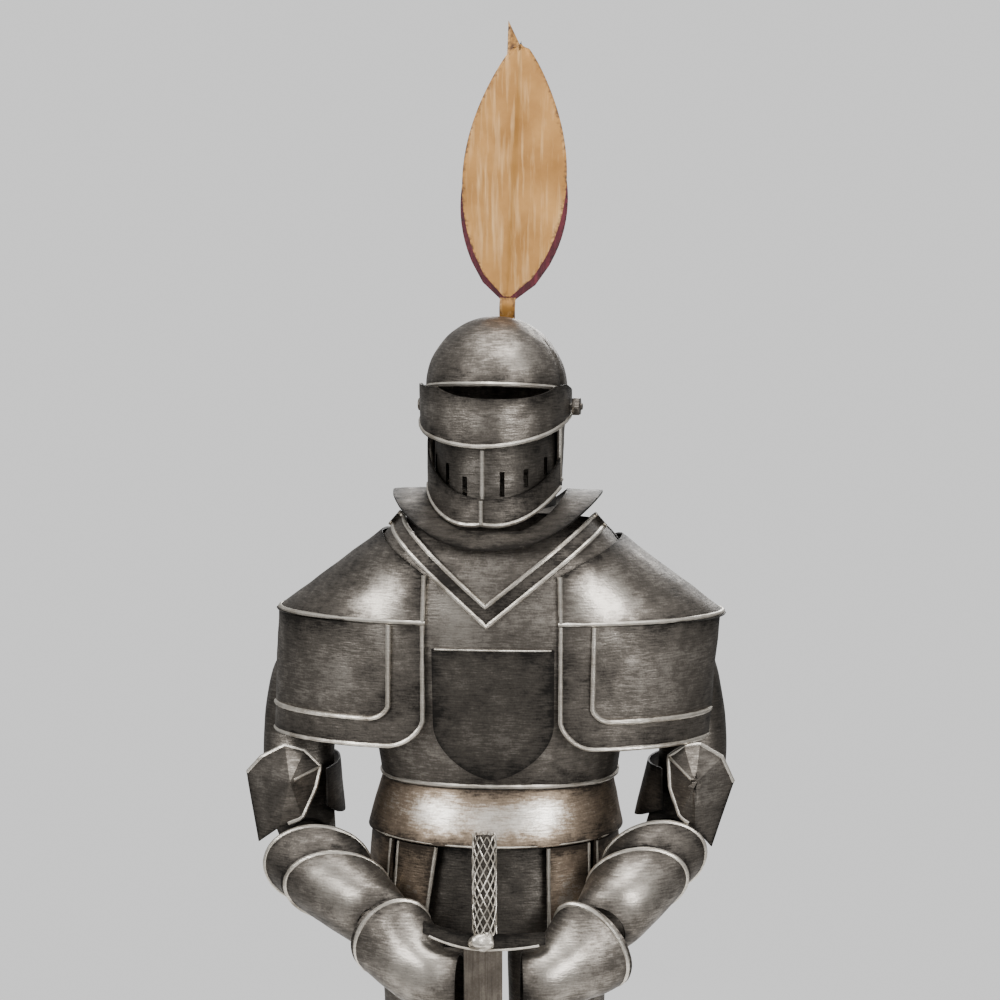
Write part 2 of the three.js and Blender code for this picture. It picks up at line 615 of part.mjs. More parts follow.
const RIGHT_ARM = {
  elbow: [
    [[104, 14, 607], [17, 0, 0], [0, 17, 0]],
    [[112.5, 20, 575], [18.5, 0, 0], [0, 18, 0]],
    [[116.6, 18, 532], [20, 0, 0], [0, 19, 3]],
    [[113, -2, 504], [19, 0, 0], [0, 13, 13]],
    [[102, -28, 480], [15, 0, 0], [0, 4, 15]],
  ],
  cuff: [
    [[95.3, -36, 474], [30, 2, 4], [0, -5, 23]],
    [[87, -49, 465.5], [27, 2, 2], [0, -5, 20]],
  ],
  sleeveRings: [
    [[86.6, -53, 465.5], [29.5, 2, 3], [0, -7, 21]],
    [[70.5, -74.5, 448], [20.8, -4, 0], [0, -7, 19.4]],
    [[63, -79, 440.6], [16.5, -5, 0], [0, -5.5, 16]],
  ],
  hand: [
    [[61.7, -82, 435], [21.5, -5, -7], [-4, -5, 24]],
    [[46, -90, 424], [14, -12, -3], [-3, -4, 22]],
    [[33, -98, 414.5], [5, -14, 0], [-1, -2, 20.5]],
    [[21.2, -100, 412], [2, -13, 0], [0, 0, 20]],
  ],
  cop: {
    point: [118.5, -47, 521.5],
    corners: [
      [141, -22, 517.5], [134.2, -25, 533], [121, -27, 541], [111.8, -28, 539.7], [102.4, -28, 533.5],
      [103.8, -32, 515], [109.8, -37, 499], [118.7, -40.5, 493], [128.2, -30, 480],
    ],
    wing: { path: [[99, -27], [92, -14], [90.5, 4], [96, 22], [106, 36]], low: 492, high: 526, flare: -8 },
  },
};

// Legs: thigh, knee cop, shin and foot, plain below the skirt
const LEG = { out: 38, x: -3.5, hip: 470, knee: 240, ankle: 59, toe: 66, heel: 24, width: 21, instep: 36 };

function footHeight(angle, v) {
  const front = Math.max(Math.cos(angle), 0);
  return SOLE + LEG.instep * (1 - v ** lerp(6, 1.7, front ** 0.7));
}

function buildLeg(name, sign) {
  const x = LEG.x + sign * LEG.out;
  const ring = (offset, z, a, b, y = 0) => [[x + sign * offset, y, z], [a, 0, 0], [0, b, 0]];
  const thighV = [0, 0.5, 0.97, 0.985, 1];
  const thigh = [ring(1, LEG.hip, 31, 31), ring(0.5, 400, 29.5, 31.5), ring(0, 320, 26.5, 29), ring(0, 254, 23, 25)];
  addPiece(`${name}_cuisse`, loft(thigh, 12, thighV, { thick: beaded([], [thighV[3]]) }), 'iron');

  const kneeCorners = [
    [0, -29, 268], [-17, -27.5, 262], [-25, -22, 246], [-19, -26, 226], [0, -29.5, 208],
    [19, -26, 226], [25, -22, 246], [17, -27.5, 262],
  ].map(([dx, y, z]) => [x + dx, y, z]);
  addPiece(`${name}_poleyn`, facets([x, -46, LEG.knee], kneeCorners, [0, 1.6, 0]), 'iron');

  const toeOut = rad(8) * sign;
  const footPoint = (angle, v) => {
    const reach = Math.cos(angle) > 0 ? LEG.toe : LEG.heel;
    const [fx, fy] = [LEG.width * v * Math.sin(angle), -reach * v * Math.cos(angle)];
    const turned = vec(fx, fy, 0).applyAxisAngle(vec(0, 0, 1), toeOut);
    return vec(x + turned.x, turned.y, footHeight(angle, v));
  };
  const foot = (u, v) => {
    const tiny = 0.02;
    return v >= tiny ? footPoint(u * TAU, v) : vec(x, 0, SOLE + LEG.instep).lerp(footPoint(u * TAU, tiny), v / tiny);
  };
  addPiece(`${name}_sabaton`, bowl(foot, even(0, 1, 14), [0, 0.35, 0.65, 0.87, 1], { lift: -SHEET / 2 }), 'iron');

  const shinRings = [
    [252, 18.5, 19.5], [228, 19.5, 21], [200, 22, 25], [160, 21.5, 26], [110, 16.5, 19.5], [LEG.ankle, 16, 18.5],
  ];
  const shin = shinRings.map(([z, a, b]) => ring(0, z, a, b, 2));
  const shinV = [0, 0.35, 0.6, 0.8, 0.97, 0.985, 1];
  addPiece(`${name}_greave`, loft(shin, 12, shinV, { thick: beaded([], [shinV[5]]) }), 'iron');
}

function buildSword() {
  const { y, x, guardZ, guardHalf, gripTop, gripRadius, blade, bladeThick } = SWORD;
  const [half, bevel, tipZ, shoulderZ] = [blade / 2, 3, SOLE, SOLE + 46];
  const top = guardZ - 4 - GAP;
  const outline = [[0, tipZ], [half, shoulderZ], [half, top], [-half, top], [-half, shoulderZ]];
  const section = new THREE.Shape(outline.map(([px, pz]) => new THREE.Vector2(px, pz)));
  const body = new THREE.ExtrudeGeometry(section, {
    depth: bladeThick - 2, bevelThickness: 1, bevelSize: bevel, bevelOffset: -bevel, bevelSegments: 1,
  });
  body.translate(0, 0, -(bladeThick - 2) / 2).rotateX(Math.PI / 2).translate(x - 0.8, y, 0);
  addPiece('sword_blade', closed(body), 'bladeIron');

  const guard = (u, v) => {
    const across = lerp(-1, 1, u);
    const rise = across < 0 ? 8 : 3;
    return vec(x + guardHalf * across, y, guardZ + lerp(-4, 4, v) * (1 - 0.3 * across ** 2) + rise * across ** 2);
  };
  addPiece('sword_guard', sheet(guard, even(0, 1, 8), [0, 1], { thick: 6 }), 'darkIron');
  const length = gripTop - guardZ - 4 - 3 * GAP;
  const grip = new THREE.CylinderGeometry(gripRadius, gripRadius, length, 14);
  grip.rotateX(Math.PI / 2).translate(x, y, gripTop - length / 2);
  addPiece('sword_grip', closed(grip), 'darkIron');
}

buildBase();
buildTorso();
buildPlaque();
buildPauldron('left', -1, { lean: [1.5, -1.5], crown: [31, 20.5] });
buildPauldron('right', 1, { lean: [3.5, 10], crown: [34, 18] });
buildNeckline();
buildSkull();
buildVisor();
buildBevor();
buildChinBand();
buildPivots();
buildCollar();
buildPlume();
buildStem();
buildFauld();
buildArm('left', LEFT_ARM);
buildArm('right', RIGHT_ARM);
buildLeg('left', -1);
buildLeg('right', 1);
buildSword();

export default figure;
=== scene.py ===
import bmesh
import bpy
import math
from mathutils import Matrix, Vector, kdtree, noise


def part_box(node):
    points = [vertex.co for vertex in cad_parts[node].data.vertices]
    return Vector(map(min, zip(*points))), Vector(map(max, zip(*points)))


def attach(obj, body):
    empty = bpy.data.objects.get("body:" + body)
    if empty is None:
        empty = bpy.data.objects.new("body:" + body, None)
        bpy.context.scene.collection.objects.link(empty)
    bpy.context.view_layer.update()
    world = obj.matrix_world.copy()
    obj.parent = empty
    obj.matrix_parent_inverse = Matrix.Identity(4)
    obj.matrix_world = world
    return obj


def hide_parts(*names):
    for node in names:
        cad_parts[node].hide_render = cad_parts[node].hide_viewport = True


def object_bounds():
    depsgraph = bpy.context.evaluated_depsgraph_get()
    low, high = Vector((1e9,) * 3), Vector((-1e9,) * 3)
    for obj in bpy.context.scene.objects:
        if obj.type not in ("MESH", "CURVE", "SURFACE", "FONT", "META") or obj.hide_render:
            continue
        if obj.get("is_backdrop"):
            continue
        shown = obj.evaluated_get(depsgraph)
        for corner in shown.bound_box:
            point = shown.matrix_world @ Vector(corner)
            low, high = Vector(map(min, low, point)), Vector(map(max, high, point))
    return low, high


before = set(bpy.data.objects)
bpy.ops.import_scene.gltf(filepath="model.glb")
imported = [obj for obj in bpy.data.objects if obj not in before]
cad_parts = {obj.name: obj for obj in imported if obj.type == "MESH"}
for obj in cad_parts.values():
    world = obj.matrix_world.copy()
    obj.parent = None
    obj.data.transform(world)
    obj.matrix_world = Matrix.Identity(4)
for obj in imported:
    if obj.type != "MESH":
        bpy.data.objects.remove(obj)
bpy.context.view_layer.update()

# Camera, at the photograph's angle: slightly above the chest and a little to the figure's left,
# framed from the plume down to the hands. The ground shows only where the view goes lower.
camera_aim = Vector((0, 0, 0.682))
camera_turn = math.radians(5)
camera_rise = math.radians(6.5)
camera_distance = 1.5
to_camera = Vector((
    math.sin(camera_turn) * math.cos(camera_rise),
    -math.cos(camera_turn) * math.cos(camera_rise),
    math.sin(camera_rise),
))
camera = bpy.data.objects.new("camera", bpy.data.cameras.new("camera"))
camera.data.lens = 90
camera.data.sensor_width = 36
camera.location = camera_aim + to_camera * camera_distance
camera.rotation_mode = "QUATERNION"
camera.rotation_quaternion = (-to_camera).to_track_quat("-Z", "Y")
bpy.context.scene.collection.objects.link(camera)
bpy.context.scene.camera = camera


# Floor: plain pale paper, which fades into the pale studio all round so that no horizon shows.
# Colours are written as sRGB and turned to the linear values that the nodes hold.
def colour(code):
    channels = [int(code[i:i + 2], 16) / 255 for i in (0, 2, 4)]
    linear = [c / 12.92 if c <= 0.04045 else ((c + 0.055) / 1.055) ** 2.4 for c in channels]
    return (*linear, 1)


def add_node(tree, kind, inputs=None, **settings):
    node = tree.nodes.new(kind)
    for name, value in settings.items():
        setattr(node, name, value)
    for socket, value in (inputs or {}).items():
        if isinstance(value, bpy.types.NodeSocket):
            tree.links.new(value, node.inputs[socket])
        else:
            node.inputs[socket].default_value = value
    return node


def new_material(name):
    material = bpy.data.materials.new(name)
    material.use_nodes = True
    material.node_tree.nodes.clear()
    return material, material.node_tree


def finish_material(tree, shader):
    add_node(tree, "ShaderNodeOutputMaterial", {"Surface": shader})


def studio_paper():
    material, tree = new_material("studio_paper")
    place = add_node(tree, "ShaderNodeTexCoord").outputs["Object"]
    reach = add_node(tree, "ShaderNodeVectorMath", {0: place}, operation="LENGTH").outputs["Value"]
    fade = add_node(tree, "ShaderNodeMapRange", {"Value": reach, "From Min": 0.45, "From Max": 1.3},
                    interpolation_type="SMOOTHSTEP").outputs["Result"]
    paper = add_node(tree, "ShaderNodeBsdfDiffuse", {"Color": colour("f4f3f1")}).outputs[0]
    nothing = add_node(tree, "ShaderNodeBsdfTransparent").outputs[0]
    finish_material(tree, add_node(tree, "ShaderNodeMixShader", {0: fade, 1: paper, 2: nothing}).outputs[0])
    return material


floor_bm = bmesh.new()
bmesh.ops.create_circle(floor_bm, cap_ends=True, segments=64, radius=1.5)
floor_mesh = bpy.data.meshes.new("floor")
floor_bm.to_mesh(floor_mesh)
floor_bm.free()
floor_mesh.materials.append(studio_paper())
floor = bpy.data.objects.new("floor", floor_mesh)
bpy.context.scene.collection.objects.link(floor)
floor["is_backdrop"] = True

# Studio light: pale walls that the metal sees dimly, with a broad softbox on each side of the camera,
# one overhead and one behind, as a product is lit.
studio = bpy.data.worlds.new("studio")
studio.use_nodes = True
studio.node_tree.nodes.clear()
toward = add_node(studio.node_tree, "ShaderNodeTexCoord").outputs["Generated"]
height = add_node(studio.node_tree, "ShaderNodeSeparateXYZ", {0: toward}).outputs["Z"]
shade = add_node(studio.node_tree, "ShaderNodeMapRange",
                 {"Value": height, "From Min": -0.5, "From Max": 0.9, "To Min": 0.16, "To Max": 0.62}).outputs[0]
seen = add_node(studio.node_tree, "ShaderNodeLightPath").outputs["Is Camera Ray"]
strength = add_node(studio.node_tree, "ShaderNodeMix", {0: seen, 2: shade, 3: 1.0}).outputs[0]
walls = add_node(studio.node_tree, "ShaderNodeBackground",
                 {"Color": colour("ffffff"), "Strength": strength}).outputs[0]
add_node(studio.node_tree, "ShaderNodeOutputWorld", {"Surface": walls})
bpy.context.scene.world = studio

softboxes = {
    "softbox_left": ((-1.3, -1.5, 1.35), 1.0, 26),
    "softbox_right": ((1.25, -1.55, 1.15), 0.9, 30),
    "softbox_top": ((0.1, -0.35, 2.3), 1.3, 30),
    "softbox_behind": ((0.3, 1.9, 1.6), 1.2, 26),
}
for name, (place, size, power) in softboxes.items():
    lamp = bpy.data.lights.new(name, "AREA")
    lamp.shape = "SQUARE"
    lamp.size = size
    lamp.energy = power
    softbox = bpy.data.objects.new(name, lamp)
    softbox.location = place
    softbox.rotation_mode = "QUATERNION"
    softbox.rotation_quaternion = (Vector((0, 0, 0.65)) - Vector(place)).to_track_quat("-Z", "Y")
    bpy.context.scene.collection.objects.link(softbox)

# Base: one thick board with rounded corners and eased edges, painted near black.
# The paint is thin, so the long grain shows in it; every point counts as edge, so it is rubbed to the brown wood in
# patches all over.
MM = 0.001
base_low, base_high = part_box("base")
base_corner = 9
base_edge = 3


def painted_board():
    """Oil paint on sanded wood: a soft sheen, faint grain, and brown where the edges are worn."""
    material, tree = new_material("painted_board")
    place = add_node(tree, "ShaderNodeTexCoord").outputs["Object"]
    along = add_node(tree, "ShaderNodeMapping", {"Vector": place, "Scale": (12, 260, 260)}).outputs[0]
    grain = add_node(tree, "ShaderNodeTexNoise", {"Vector": along, "Scale": 1.0, "Detail": 4.0}).outputs[0]
    smear = add_node(tree, "ShaderNodeTexNoise", {"Vector": place, "Scale": 22.0, "Detail": 4.0}).outputs[0]
    worn = add_node(tree, "ShaderNodeAttribute", attribute_name="edge").outputs["Fac"]
    rubbed = add_node(tree, "ShaderNodeMath", {0: worn, 1: smear}, operation="MULTIPLY").outputs[0]
    rub = add_node(tree, "ShaderNodeMapRange", {"Value": rubbed, "From Min": 0.4, "From Max": 0.62}).outputs[0]
    paint = add_node(tree, "ShaderNodeMix", {0: grain, 6: colour("1c1a19"), 7: colour("383431")},
                     data_type="RGBA").outputs[2]
    wood = add_node(tree, "ShaderNodeMix", {0: rub, 6: paint, 7: colour("6b5440")}, data_type="RGBA").outputs[2]
    rough = add_node(tree, "ShaderNodeMapRange", {"Value": smear, "To Min": 0.42, "To Max": 0.62}).outputs[0]
    bump = add_node(tree, "ShaderNodeBump", {"Height": grain, "Strength": 0.25, "Distance": 0.0003}).outputs[0]
    board = add_node(tree, "ShaderNodeBsdfPrincipled", {"Base Color": wood, "Roughness": rough, "Normal": bump})
    finish_material(tree, board.outputs[0])
    return material


def mark_edges(bm, reach=6.0):
    """Writes into the layer "edge" how close each point is to the sheet's edge: 1 on it, fading over reach."""
    layer = bm.verts.layers.float.get("edge") or bm.verts.layers.float.new("edge")
    rim = [vert.co for vert in bm.verts if vert.is_boundary]
    if not rim:
        return
    tree = kdtree.KDTree(len(rim))
    for i, place in enumerate(rim):
        tree.insert(place, i)
    tree.balance()
    for vert in bm.verts:
        vert[layer] = math.exp(-tree.find(vert.co)[2] / reach)


def place_piece(node, bm, materials, slot, body="figure", sharp=38, placing=Matrix.Identity(4)):
    """Makes the finished piece that stands for a node, from a bmesh in millimetres."""
    mesh = bpy.data.meshes.new("finished_" + node)
    bm.to_mesh(mesh)
    bm.free()
    for material in materials:
        mesh.materials.append(material)
    mesh.transform(Matrix.Scale(MM, 4) @ placing)
    mesh.shade_smooth()
    mesh.set_sharp_from_angle(angle=math.radians(sharp))
    piece = bpy.data.objects.new("finished_" + node, mesh)
    bpy.context.scene.collection.objects.link(piece)
    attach(piece, body)
    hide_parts(node)
    return piece


base_bm = bmesh.new()
bmesh.ops.create_cube(base_bm, size=1)
base_size = (base_high - base_low) / MM
bmesh.ops.scale(base_bm, vec=base_size, verts=base_bm.verts)
bmesh.ops.translate(base_bm, vec=(0, 0, base_size.z / 2), verts=base_bm.verts)
upright = [e for e in base_bm.edges if abs(e.verts[0].co.z - e.verts[1].co.z) > 1]
bmesh.ops.bevel(base_bm, geom=upright, offset=base_corner, segments=6, profile=0.5, affect="EDGES", material=-1)
round_rims = [e for e in base_bm.edges if abs(e.verts[0].co.z - e.verts[1].co.z) < 1 and len(e.link_faces) == 2]
bmesh.ops.bevel(base_bm, geom=round_rims, offset=base_edge, segments=4, profile=0.5, affect="EDGES", material=-1)
edge_layer = base_bm.verts.layers.float.new("edge")
for vert in base_bm.verts:
    vert[edge_layer] = 1.0
place_piece("base", base_bm, [painted_board()], "base_paint")

# Shoes, shins, knees and thighs: bent sheet-iron shells, plain because the skirt and hands draw the eye.
# Every free rim carries a soldered wire, and each shell has the slight unevenness of hand-bent sheet.
SHEET = 1.2
WIRE = 1.5
GAP = 0.3
TAU = math.tau
sole = base_high.z / MM + GAP


def patinated_iron(name, dark, middle, light, grain=(150, 150, 1100), worn=0.0, warmth=None):
    """Mild steel sheet, blackened and then dry-brushed with silver: dark in the hollows, mottled grey
    on the flats with a fine brushed grain, and rubbed bright on what stands proud. The rub attribute
    also carries painted highlights, which lighten the colour where the front light falls."""
    material, tree = new_material(name)
    place = add_node(tree, "ShaderNodeTexCoord").outputs["Object"]
    brushed = add_node(tree, "ShaderNodeMapping", {"Vector": place, "Scale": grain}).outputs[0]
    cloud = add_node(tree, "ShaderNodeTexNoise", {"Vector": place, "Scale": 26.0, "Detail": 3.0}).outputs[0]
    blotch = add_node(tree, "ShaderNodeTexNoise",
                      {"Vector": place, "Scale": 120.0, "Detail": 5.0, "Roughness": 0.62}).outputs[0]
    brush = add_node(tree, "ShaderNodeTexNoise", {"Vector": brushed, "Scale": 1.0, "Detail": 3.0}).outputs[0]
    speck = add_node(tree, "ShaderNodeTexNoise", {"Vector": place, "Scale": 900.0, "Detail": 2.0}).outputs[0]
    # The rub attribute: rubbed silver on wires and solder, and painted highlights at each piece's spots.
    rubbed = add_node(tree, "ShaderNodeAttribute", attribute_name="rub").outputs["Fac"]
    grimy = add_node(tree, "ShaderNodeAttribute", attribute_name="edge").outputs["Fac"]
    parts = ((cloud, 1.1), (blotch, 0.9), (brush, 0.9), (speck, 0.45), (rubbed, 0.9), (grimy, -0.55))
    tone = None
    for source, weight in parts:
        scaled = {0: source, 1: weight, 2: tone if tone else worn - 1.42}
        tone = add_node(tree, "ShaderNodeMath", scaled, operation="MULTIPLY_ADD").outputs[0]
    low = add_node(tree, "ShaderNodeMapRange", {"Value": tone, "From Min": -0.3, "From Max": 0.35}).outputs[0]
    high = add_node(tree, "ShaderNodeMapRange", {"Value": tone, "From Min": 0.3, "From Max": 1.0}).outputs[0]
    body = add_node(tree, "ShaderNodeMix", {0: low, 6: colour(dark), 7: colour(middle)},
                    data_type="RGBA").outputs[2]
    face = add_node(tree, "ShaderNodeMix", {0: high, 6: body, 7: colour(light)}, data_type="RGBA").outputs[2]
    if warmth:
        heated = add_node(tree, "ShaderNodeAttribute", attribute_name="heat").outputs["Fac"]
        face = add_node(tree, "ShaderNodeMix", {0: heated, 6: face, 7: colour(warmth)}, data_type="RGBA",
                        blend_type="MULTIPLY").outputs[2]
    rough = add_node(tree, "ShaderNodeMapRange",
                     {"Value": tone, "From Min": -0.3, "From Max": 0.9, "To Min": 0.56, "To Max": 0.33}).outputs[0]
    relief = add_node(tree, "ShaderNodeMath", {0: blotch, 1: brush}, operation="ADD").outputs[0]
    pitted = add_node(tree, "ShaderNodeMath", {0: speck, 1: 0.5, 2: relief}, operation="MULTIPLY_ADD").outputs[0]
    bump = add_node(tree, "ShaderNodeBump", {"Height": pitted, "Strength": 0.35, "Distance": 0.0004}).outputs[0]
    metal = add_node(tree, "ShaderNodeBsdfPrincipled",
                     {"Base Color": face, "Metallic": 0.92, "Roughness": rough, "Normal": bump})
    finish_material(tree, metal.outputs[0])
    return material


iron = patinated_iron("blackened_sheet_iron", "2a2724", "6a645d", "b5aea4")
bright_wire = patinated_iron("rubbed_iron_wire", "4a453f", "a29a8e", "dcd6cb", worn=0.15)


def lerp(a, b, t):
    return a + (b - a) * t


def clamp(value, low, high):
    return max(low, min(high, value))


def spow(value, power):
    return math.copysign(abs(value) ** power, value)


def through(points, t):
    """The point at share t of a smooth curve through the points, with centripetal spacing."""
    last = len(points) - 1
    place = clamp(t, 0, 1) * last
    i = min(int(place), last - 1)
    w = place - i
    near, far = Vector(points[i]), Vector(points[i + 1])
    before = Vector(points[i - 1]) if i > 0 else near * 2 - far
    after = Vector(points[i + 2]) if i + 2 <= last else far * 2 - near
    step = math.sqrt((far - near).length)
    if step < 0.01:
        step = 1
    step0 = math.sqrt((near - before).length)
    step2 = math.sqrt((after - far).length)
    if step0 < 0.01:
        step0 = step
    if step2 < 0.01:
        step2 = step
    out = (near - before) / step0 - (far - before) / (step0 + step) + (far - near) / step
    into = (far - near) / step - (after - near) / (step + step2) + (after - far) / step2
    out, into = out * step, into * step
    return (
        (2 * w ** 3 - 3 * w ** 2 + 1) * near + (w ** 3 - 2 * w ** 2 + w) * out
        + (3 * w ** 2 - 2 * w ** 3) * far + (w ** 3 - w ** 2) * into
    )


def oval(a, b, squareness, angle, z):
    """A point of an oval seen from above, from its front at angle 0 towards +X."""
    return Vector((a * spow(math.sin(angle), 2 / squareness), -b * spow(math.cos(angle), 2 / squareness), z))


def bent_sheet(surface, across, along, thick=SHEET, lift=0.0, uneven=0.35, size=34, spots=(), reach=6.0):
    """Bends a flat grid onto surface(u, v), beats slight dents into it and gives it its thickness.
    Each spot is a place, a radius and how much rubbed silver and painted highlight is laid on there."""
    bm = bmesh.new()
    bmesh.ops.create_grid(bm, x_segments=across, y_segments=along, size=0.5)
    for vert in bm.verts:
        vert.co = surface(vert.co.x + 0.5, vert.co.y + 0.5)
    bmesh.ops.remove_doubles(bm, verts=bm.verts, dist=0.01)
    bmesh.ops.dissolve_degenerate(bm, edges=bm.edges, dist=0.005)
    mark_edges(bm, reach)
    rub = bm.verts.layers.float.new("rub")
    bm.normal_update()
    normals = [vert.normal.copy() for vert in bm.verts]
    for vert, normal in zip(bm.verts, normals):
        # Each spot adds to the rub: rubbed silver and a painted highlight where the light falls.
        for place, radius, amount in spots:
            vert[rub] += amount * math.exp(-((vert.co - Vector(place)).length / radius) ** 2)
        dent = uneven * noise.noise(vert.co / size) + 0.4 * uneven * noise.noise(vert.co / size * 3.1)
        vert.co += normal * (lift + dent + thick / 2)
    bm.normal_update()
    bmesh.ops.solidify(bm, geom=bm.verts[:] + bm.edges[:] + bm.faces[:], thickness=thick)
    if bm.calc_volume(signed=True) < 0:
        bmesh.ops.reverse_faces(bm, faces=bm.faces)
    return bm


def add_wire(bm, points, radius=WIRE, sides=8, loop=False, lumps=0.13):
    """Lays a round wire along the points, with the small lumps that solder leaves on it."""
    made = bmesh.ops.create_grid(bm, x_segments=sides, y_segments=len(points) - 1, size=0.5)["verts"]
    last = len(points) - 1
    side = Vector((0.3, 0.2, 0.93))
    rings = []
    for i, point in enumerate(points):
        before, after = points[max(i - 1, 0)], points[min(i + 1, last)]
        if loop and i in (0, last):
            before, after = points[last - 1], points[1]
        ahead = (after - before).normalized()
        side = (side - ahead * side.dot(ahead)).normalized()
        rings.append((point, side.copy(), ahead.cross(side)))
    for vert in made:
        point, out, up = rings[round((vert.co.y + 0.5) * last)]
        angle = (vert.co.x + 0.5) * TAU
        swell = radius * (1 + lumps * noise.noise(point / 4.3) + 0.6 * lumps * noise.noise(point / 1.7))
        vert.co = point + (out * math.cos(angle) + up * math.sin(angle)) * swell
    if loop:
        side_end = rings[last][1]
        twist = math.atan2(side_end.dot(rings[0][2]), side_end.dot(rings[0][1]))
        for vert in made:
            if (vert.co - points[last]).length < radius * 1.5 and twist:
                vert.co = vert.co
    faces = list({face for vert in made for face in vert.link_faces})
    for face in faces:
        face.material_index = 1
    rub = bm.verts.layers.float.get("rub")
    for vert in made:
        vert[rub] = 0.35 + 0.5 * noise.noise(vert.co / 7)
    bmesh.ops.remove_doubles(bm, verts=made, dist=0.01)
    made = [vert for vert in made if vert.is_valid]
    open_edges = [e for e in {e for vert in made for e in vert.link_edges} if e.is_boundary]
    caps = bmesh.ops.holes_fill(bm, edges=open_edges, sides=0)["faces"]
    for face in caps:
        face.material_index = 1
    bmesh.ops.recalc_face_normals(bm, faces=list({face for vert in made for face in vert.link_faces}))


def add_blob(bm, centre, radius, flat=(1, 1, 1), material_index=1):
    """A bead of solder: a small ball run out unevenly."""
    made = bmesh.ops.create_icosphere(bm, subdivisions=3, radius=radius)["verts"]
    rub = bm.verts.layers.float.get("rub")
    for vert in made:
        swell = 1 + 0.35 * noise.noise(vert.co / radius * 1.3 + Vector(centre))
        vert.co = Vector(v * f * swell for v, f in zip(vert.co, flat)) + Vector(centre)
        vert[rub] = 0.5
    for face in {face for vert in made for face in vert.link_faces}:
        face.material_index = material_index


def edge_line(surface, count, start, end):
    """Points along the surface between two of its (u, v) places."""
    return [surface(lerp(start[0], end[0], i / count), lerp(start[1], end[1], i / count)) for i in range(count + 1)]


def lofted(rings):
    """A surface through rings, each a middle, a sideways and an upward half axis."""
    tracks = [[ring[k] for ring in rings] for k in range(3)]

    def surface(u, v):
        middle, side, rise = (through(track, v) for track in tracks)
        return middle + side * math.cos(u * TAU) + rise * math.sin(u * TAU)

    return surface


def add_sleeve(name, rings, wired=(0.03,), slot="iron", finish=None, uneven=0.5, spots=(), along=26):
    """A closed sleeve of bent sheet with a wire round each named ring."""
    surface = lofted(rings)
    bm = bent_sheet(surface, 56, along, uneven=uneven, spots=spots)
    for v in wired:
        add_wire(bm, edge_line(surface, 56, (0, v), (1, v)), loop=True)
    return place_piece(name, bm, [finish or iron, bright_wire], slot)


def faceted_cop(name, point, corners, wired, creases=(), finish=None, slot="iron", push=(0, 0.8, 0)):
    """A cop of flat faces that meet at a point, with a wire on part of its edge and strips on its creases."""
    apex = Vector(point) + Vector(push)
    edge = [Vector(corner) + Vector(push) for corner in corners]

    def surface(u, v):
        place = u * len(edge)
        i = int(place) % len(edge)
        rim = edge[i].lerp(edge[(i + 1) % len(edge)], place - int(place))
        return apex.lerp(rim, v)

    bm = bent_sheet(surface, len(edge) * 6, 12, thick=1.2, uneven=0.25, size=14, reach=3.0)
    low, high = wired
    if high > low:
        add_wire(bm, edge_line(surface, 40, (low / len(edge), 0.985), (high / len(edge), 0.985)))
    for index in creases:
        u = index / len(edge)
        add_wire(bm, [p + Vector((0, -0.6, 0)) for p in edge_line(surface, 8, (u, 0.12), (u, 0.97))], radius=0.9)
    return place_piece(name, bm, [finish or iron, bright_wire], slot, sharp=16)


leg_out, leg_x = 38, -3.5
hip, knee, ankle = 470, 240, 59
shoe_toe, shoe_heel, shoe_width, shoe_instep = 66, 24, 21, 36

for name, sign in (("left", -1), ("right", 1)):
    leg = leg_x + sign * leg_out

    def leg_ring(offset, z, a, b, y=0):
        return [(leg + sign * offset, y, z), (a, 0, 0), (0, b, 0)]

    def shoe(u, v):
        angle = u * TAU
        front = max(math.cos(angle), 0)
        reach = shoe_toe if math.cos(angle) > 0 else shoe_heel
        rise = shoe_instep * (1 - v ** lerp(6, 1.7, front ** 0.7))
        flat = Vector((shoe_width * v * math.sin(angle), -reach * v * math.cos(angle), 0))
        flat.rotate(Matrix.Rotation(math.radians(8) * sign, 3, "Z"))
        return Vector((leg + flat.x, flat.y, sole + rise))

    shoe_bm = bent_sheet(shoe, 64, 22, lift=-SHEET / 2, uneven=0.3)
    for v in (0.5, 0.66, 0.8):
        add_wire(shoe_bm, edge_line(shoe, 24, (-0.2, v), (0.2, v)), radius=1.0)
    place_piece(f"{name}_sabaton", shoe_bm, [iron, bright_wire], "iron")

    shin = [leg_ring(0, z, a, b, 2) for z, a, b in (
        (252, 18.5, 19.5), (228, 19.5, 21), (200, 22, 25), (160, 21.5, 26), (110, 16.5, 19.5), (ankle, 16, 18.5))]
    add_sleeve(f"{name}_greave", shin, wired=(0.985,), along=60)

    knee_corners = [(leg + dx, y, z) for dx, y, z in (
        (0, -29, 268), (-17, -27.5, 262), (-25, -22, 246), (-19, -26, 226), (0, -29.5, 208),
        (19, -26, 226), (25, -22, 246), (17, -27.5, 262))]
    faceted_cop(f"{name}_poleyn", (leg, -46, knee), knee_corners, wired=(0, 8))

    thigh = [leg_ring(1, hip, 31, 31), leg_ring(0.5, 400, 29.5, 31.5), leg_ring(0, 320, 26.5, 29),
             leg_ring(0, 254, 23, 25)]
    add_sleeve(f"{name}_cuisse", thigh, wired=(0.985,), along=60)

# Trunk: a front and a back shell, soldered together at the sides, with a wire round the waist.
# Rows give half width, half depth and squareness by height.
waist_z, shoulder_z, neck_z = 518.6, 664, 668.6
trunk_rows = (
    (waist_z - WIRE, 70.6, 53.6, 2.4), (548, 75, 55, 2.6), (582, 80, 56.5, 2.9), (615, 82, 57, 3),
    (640, 79, 55, 3), (655, 74, 51.5, 2.8), (shoulder_z, 67, 47, 2.6), (neck_z, 62, 44.5, 2.5),
)


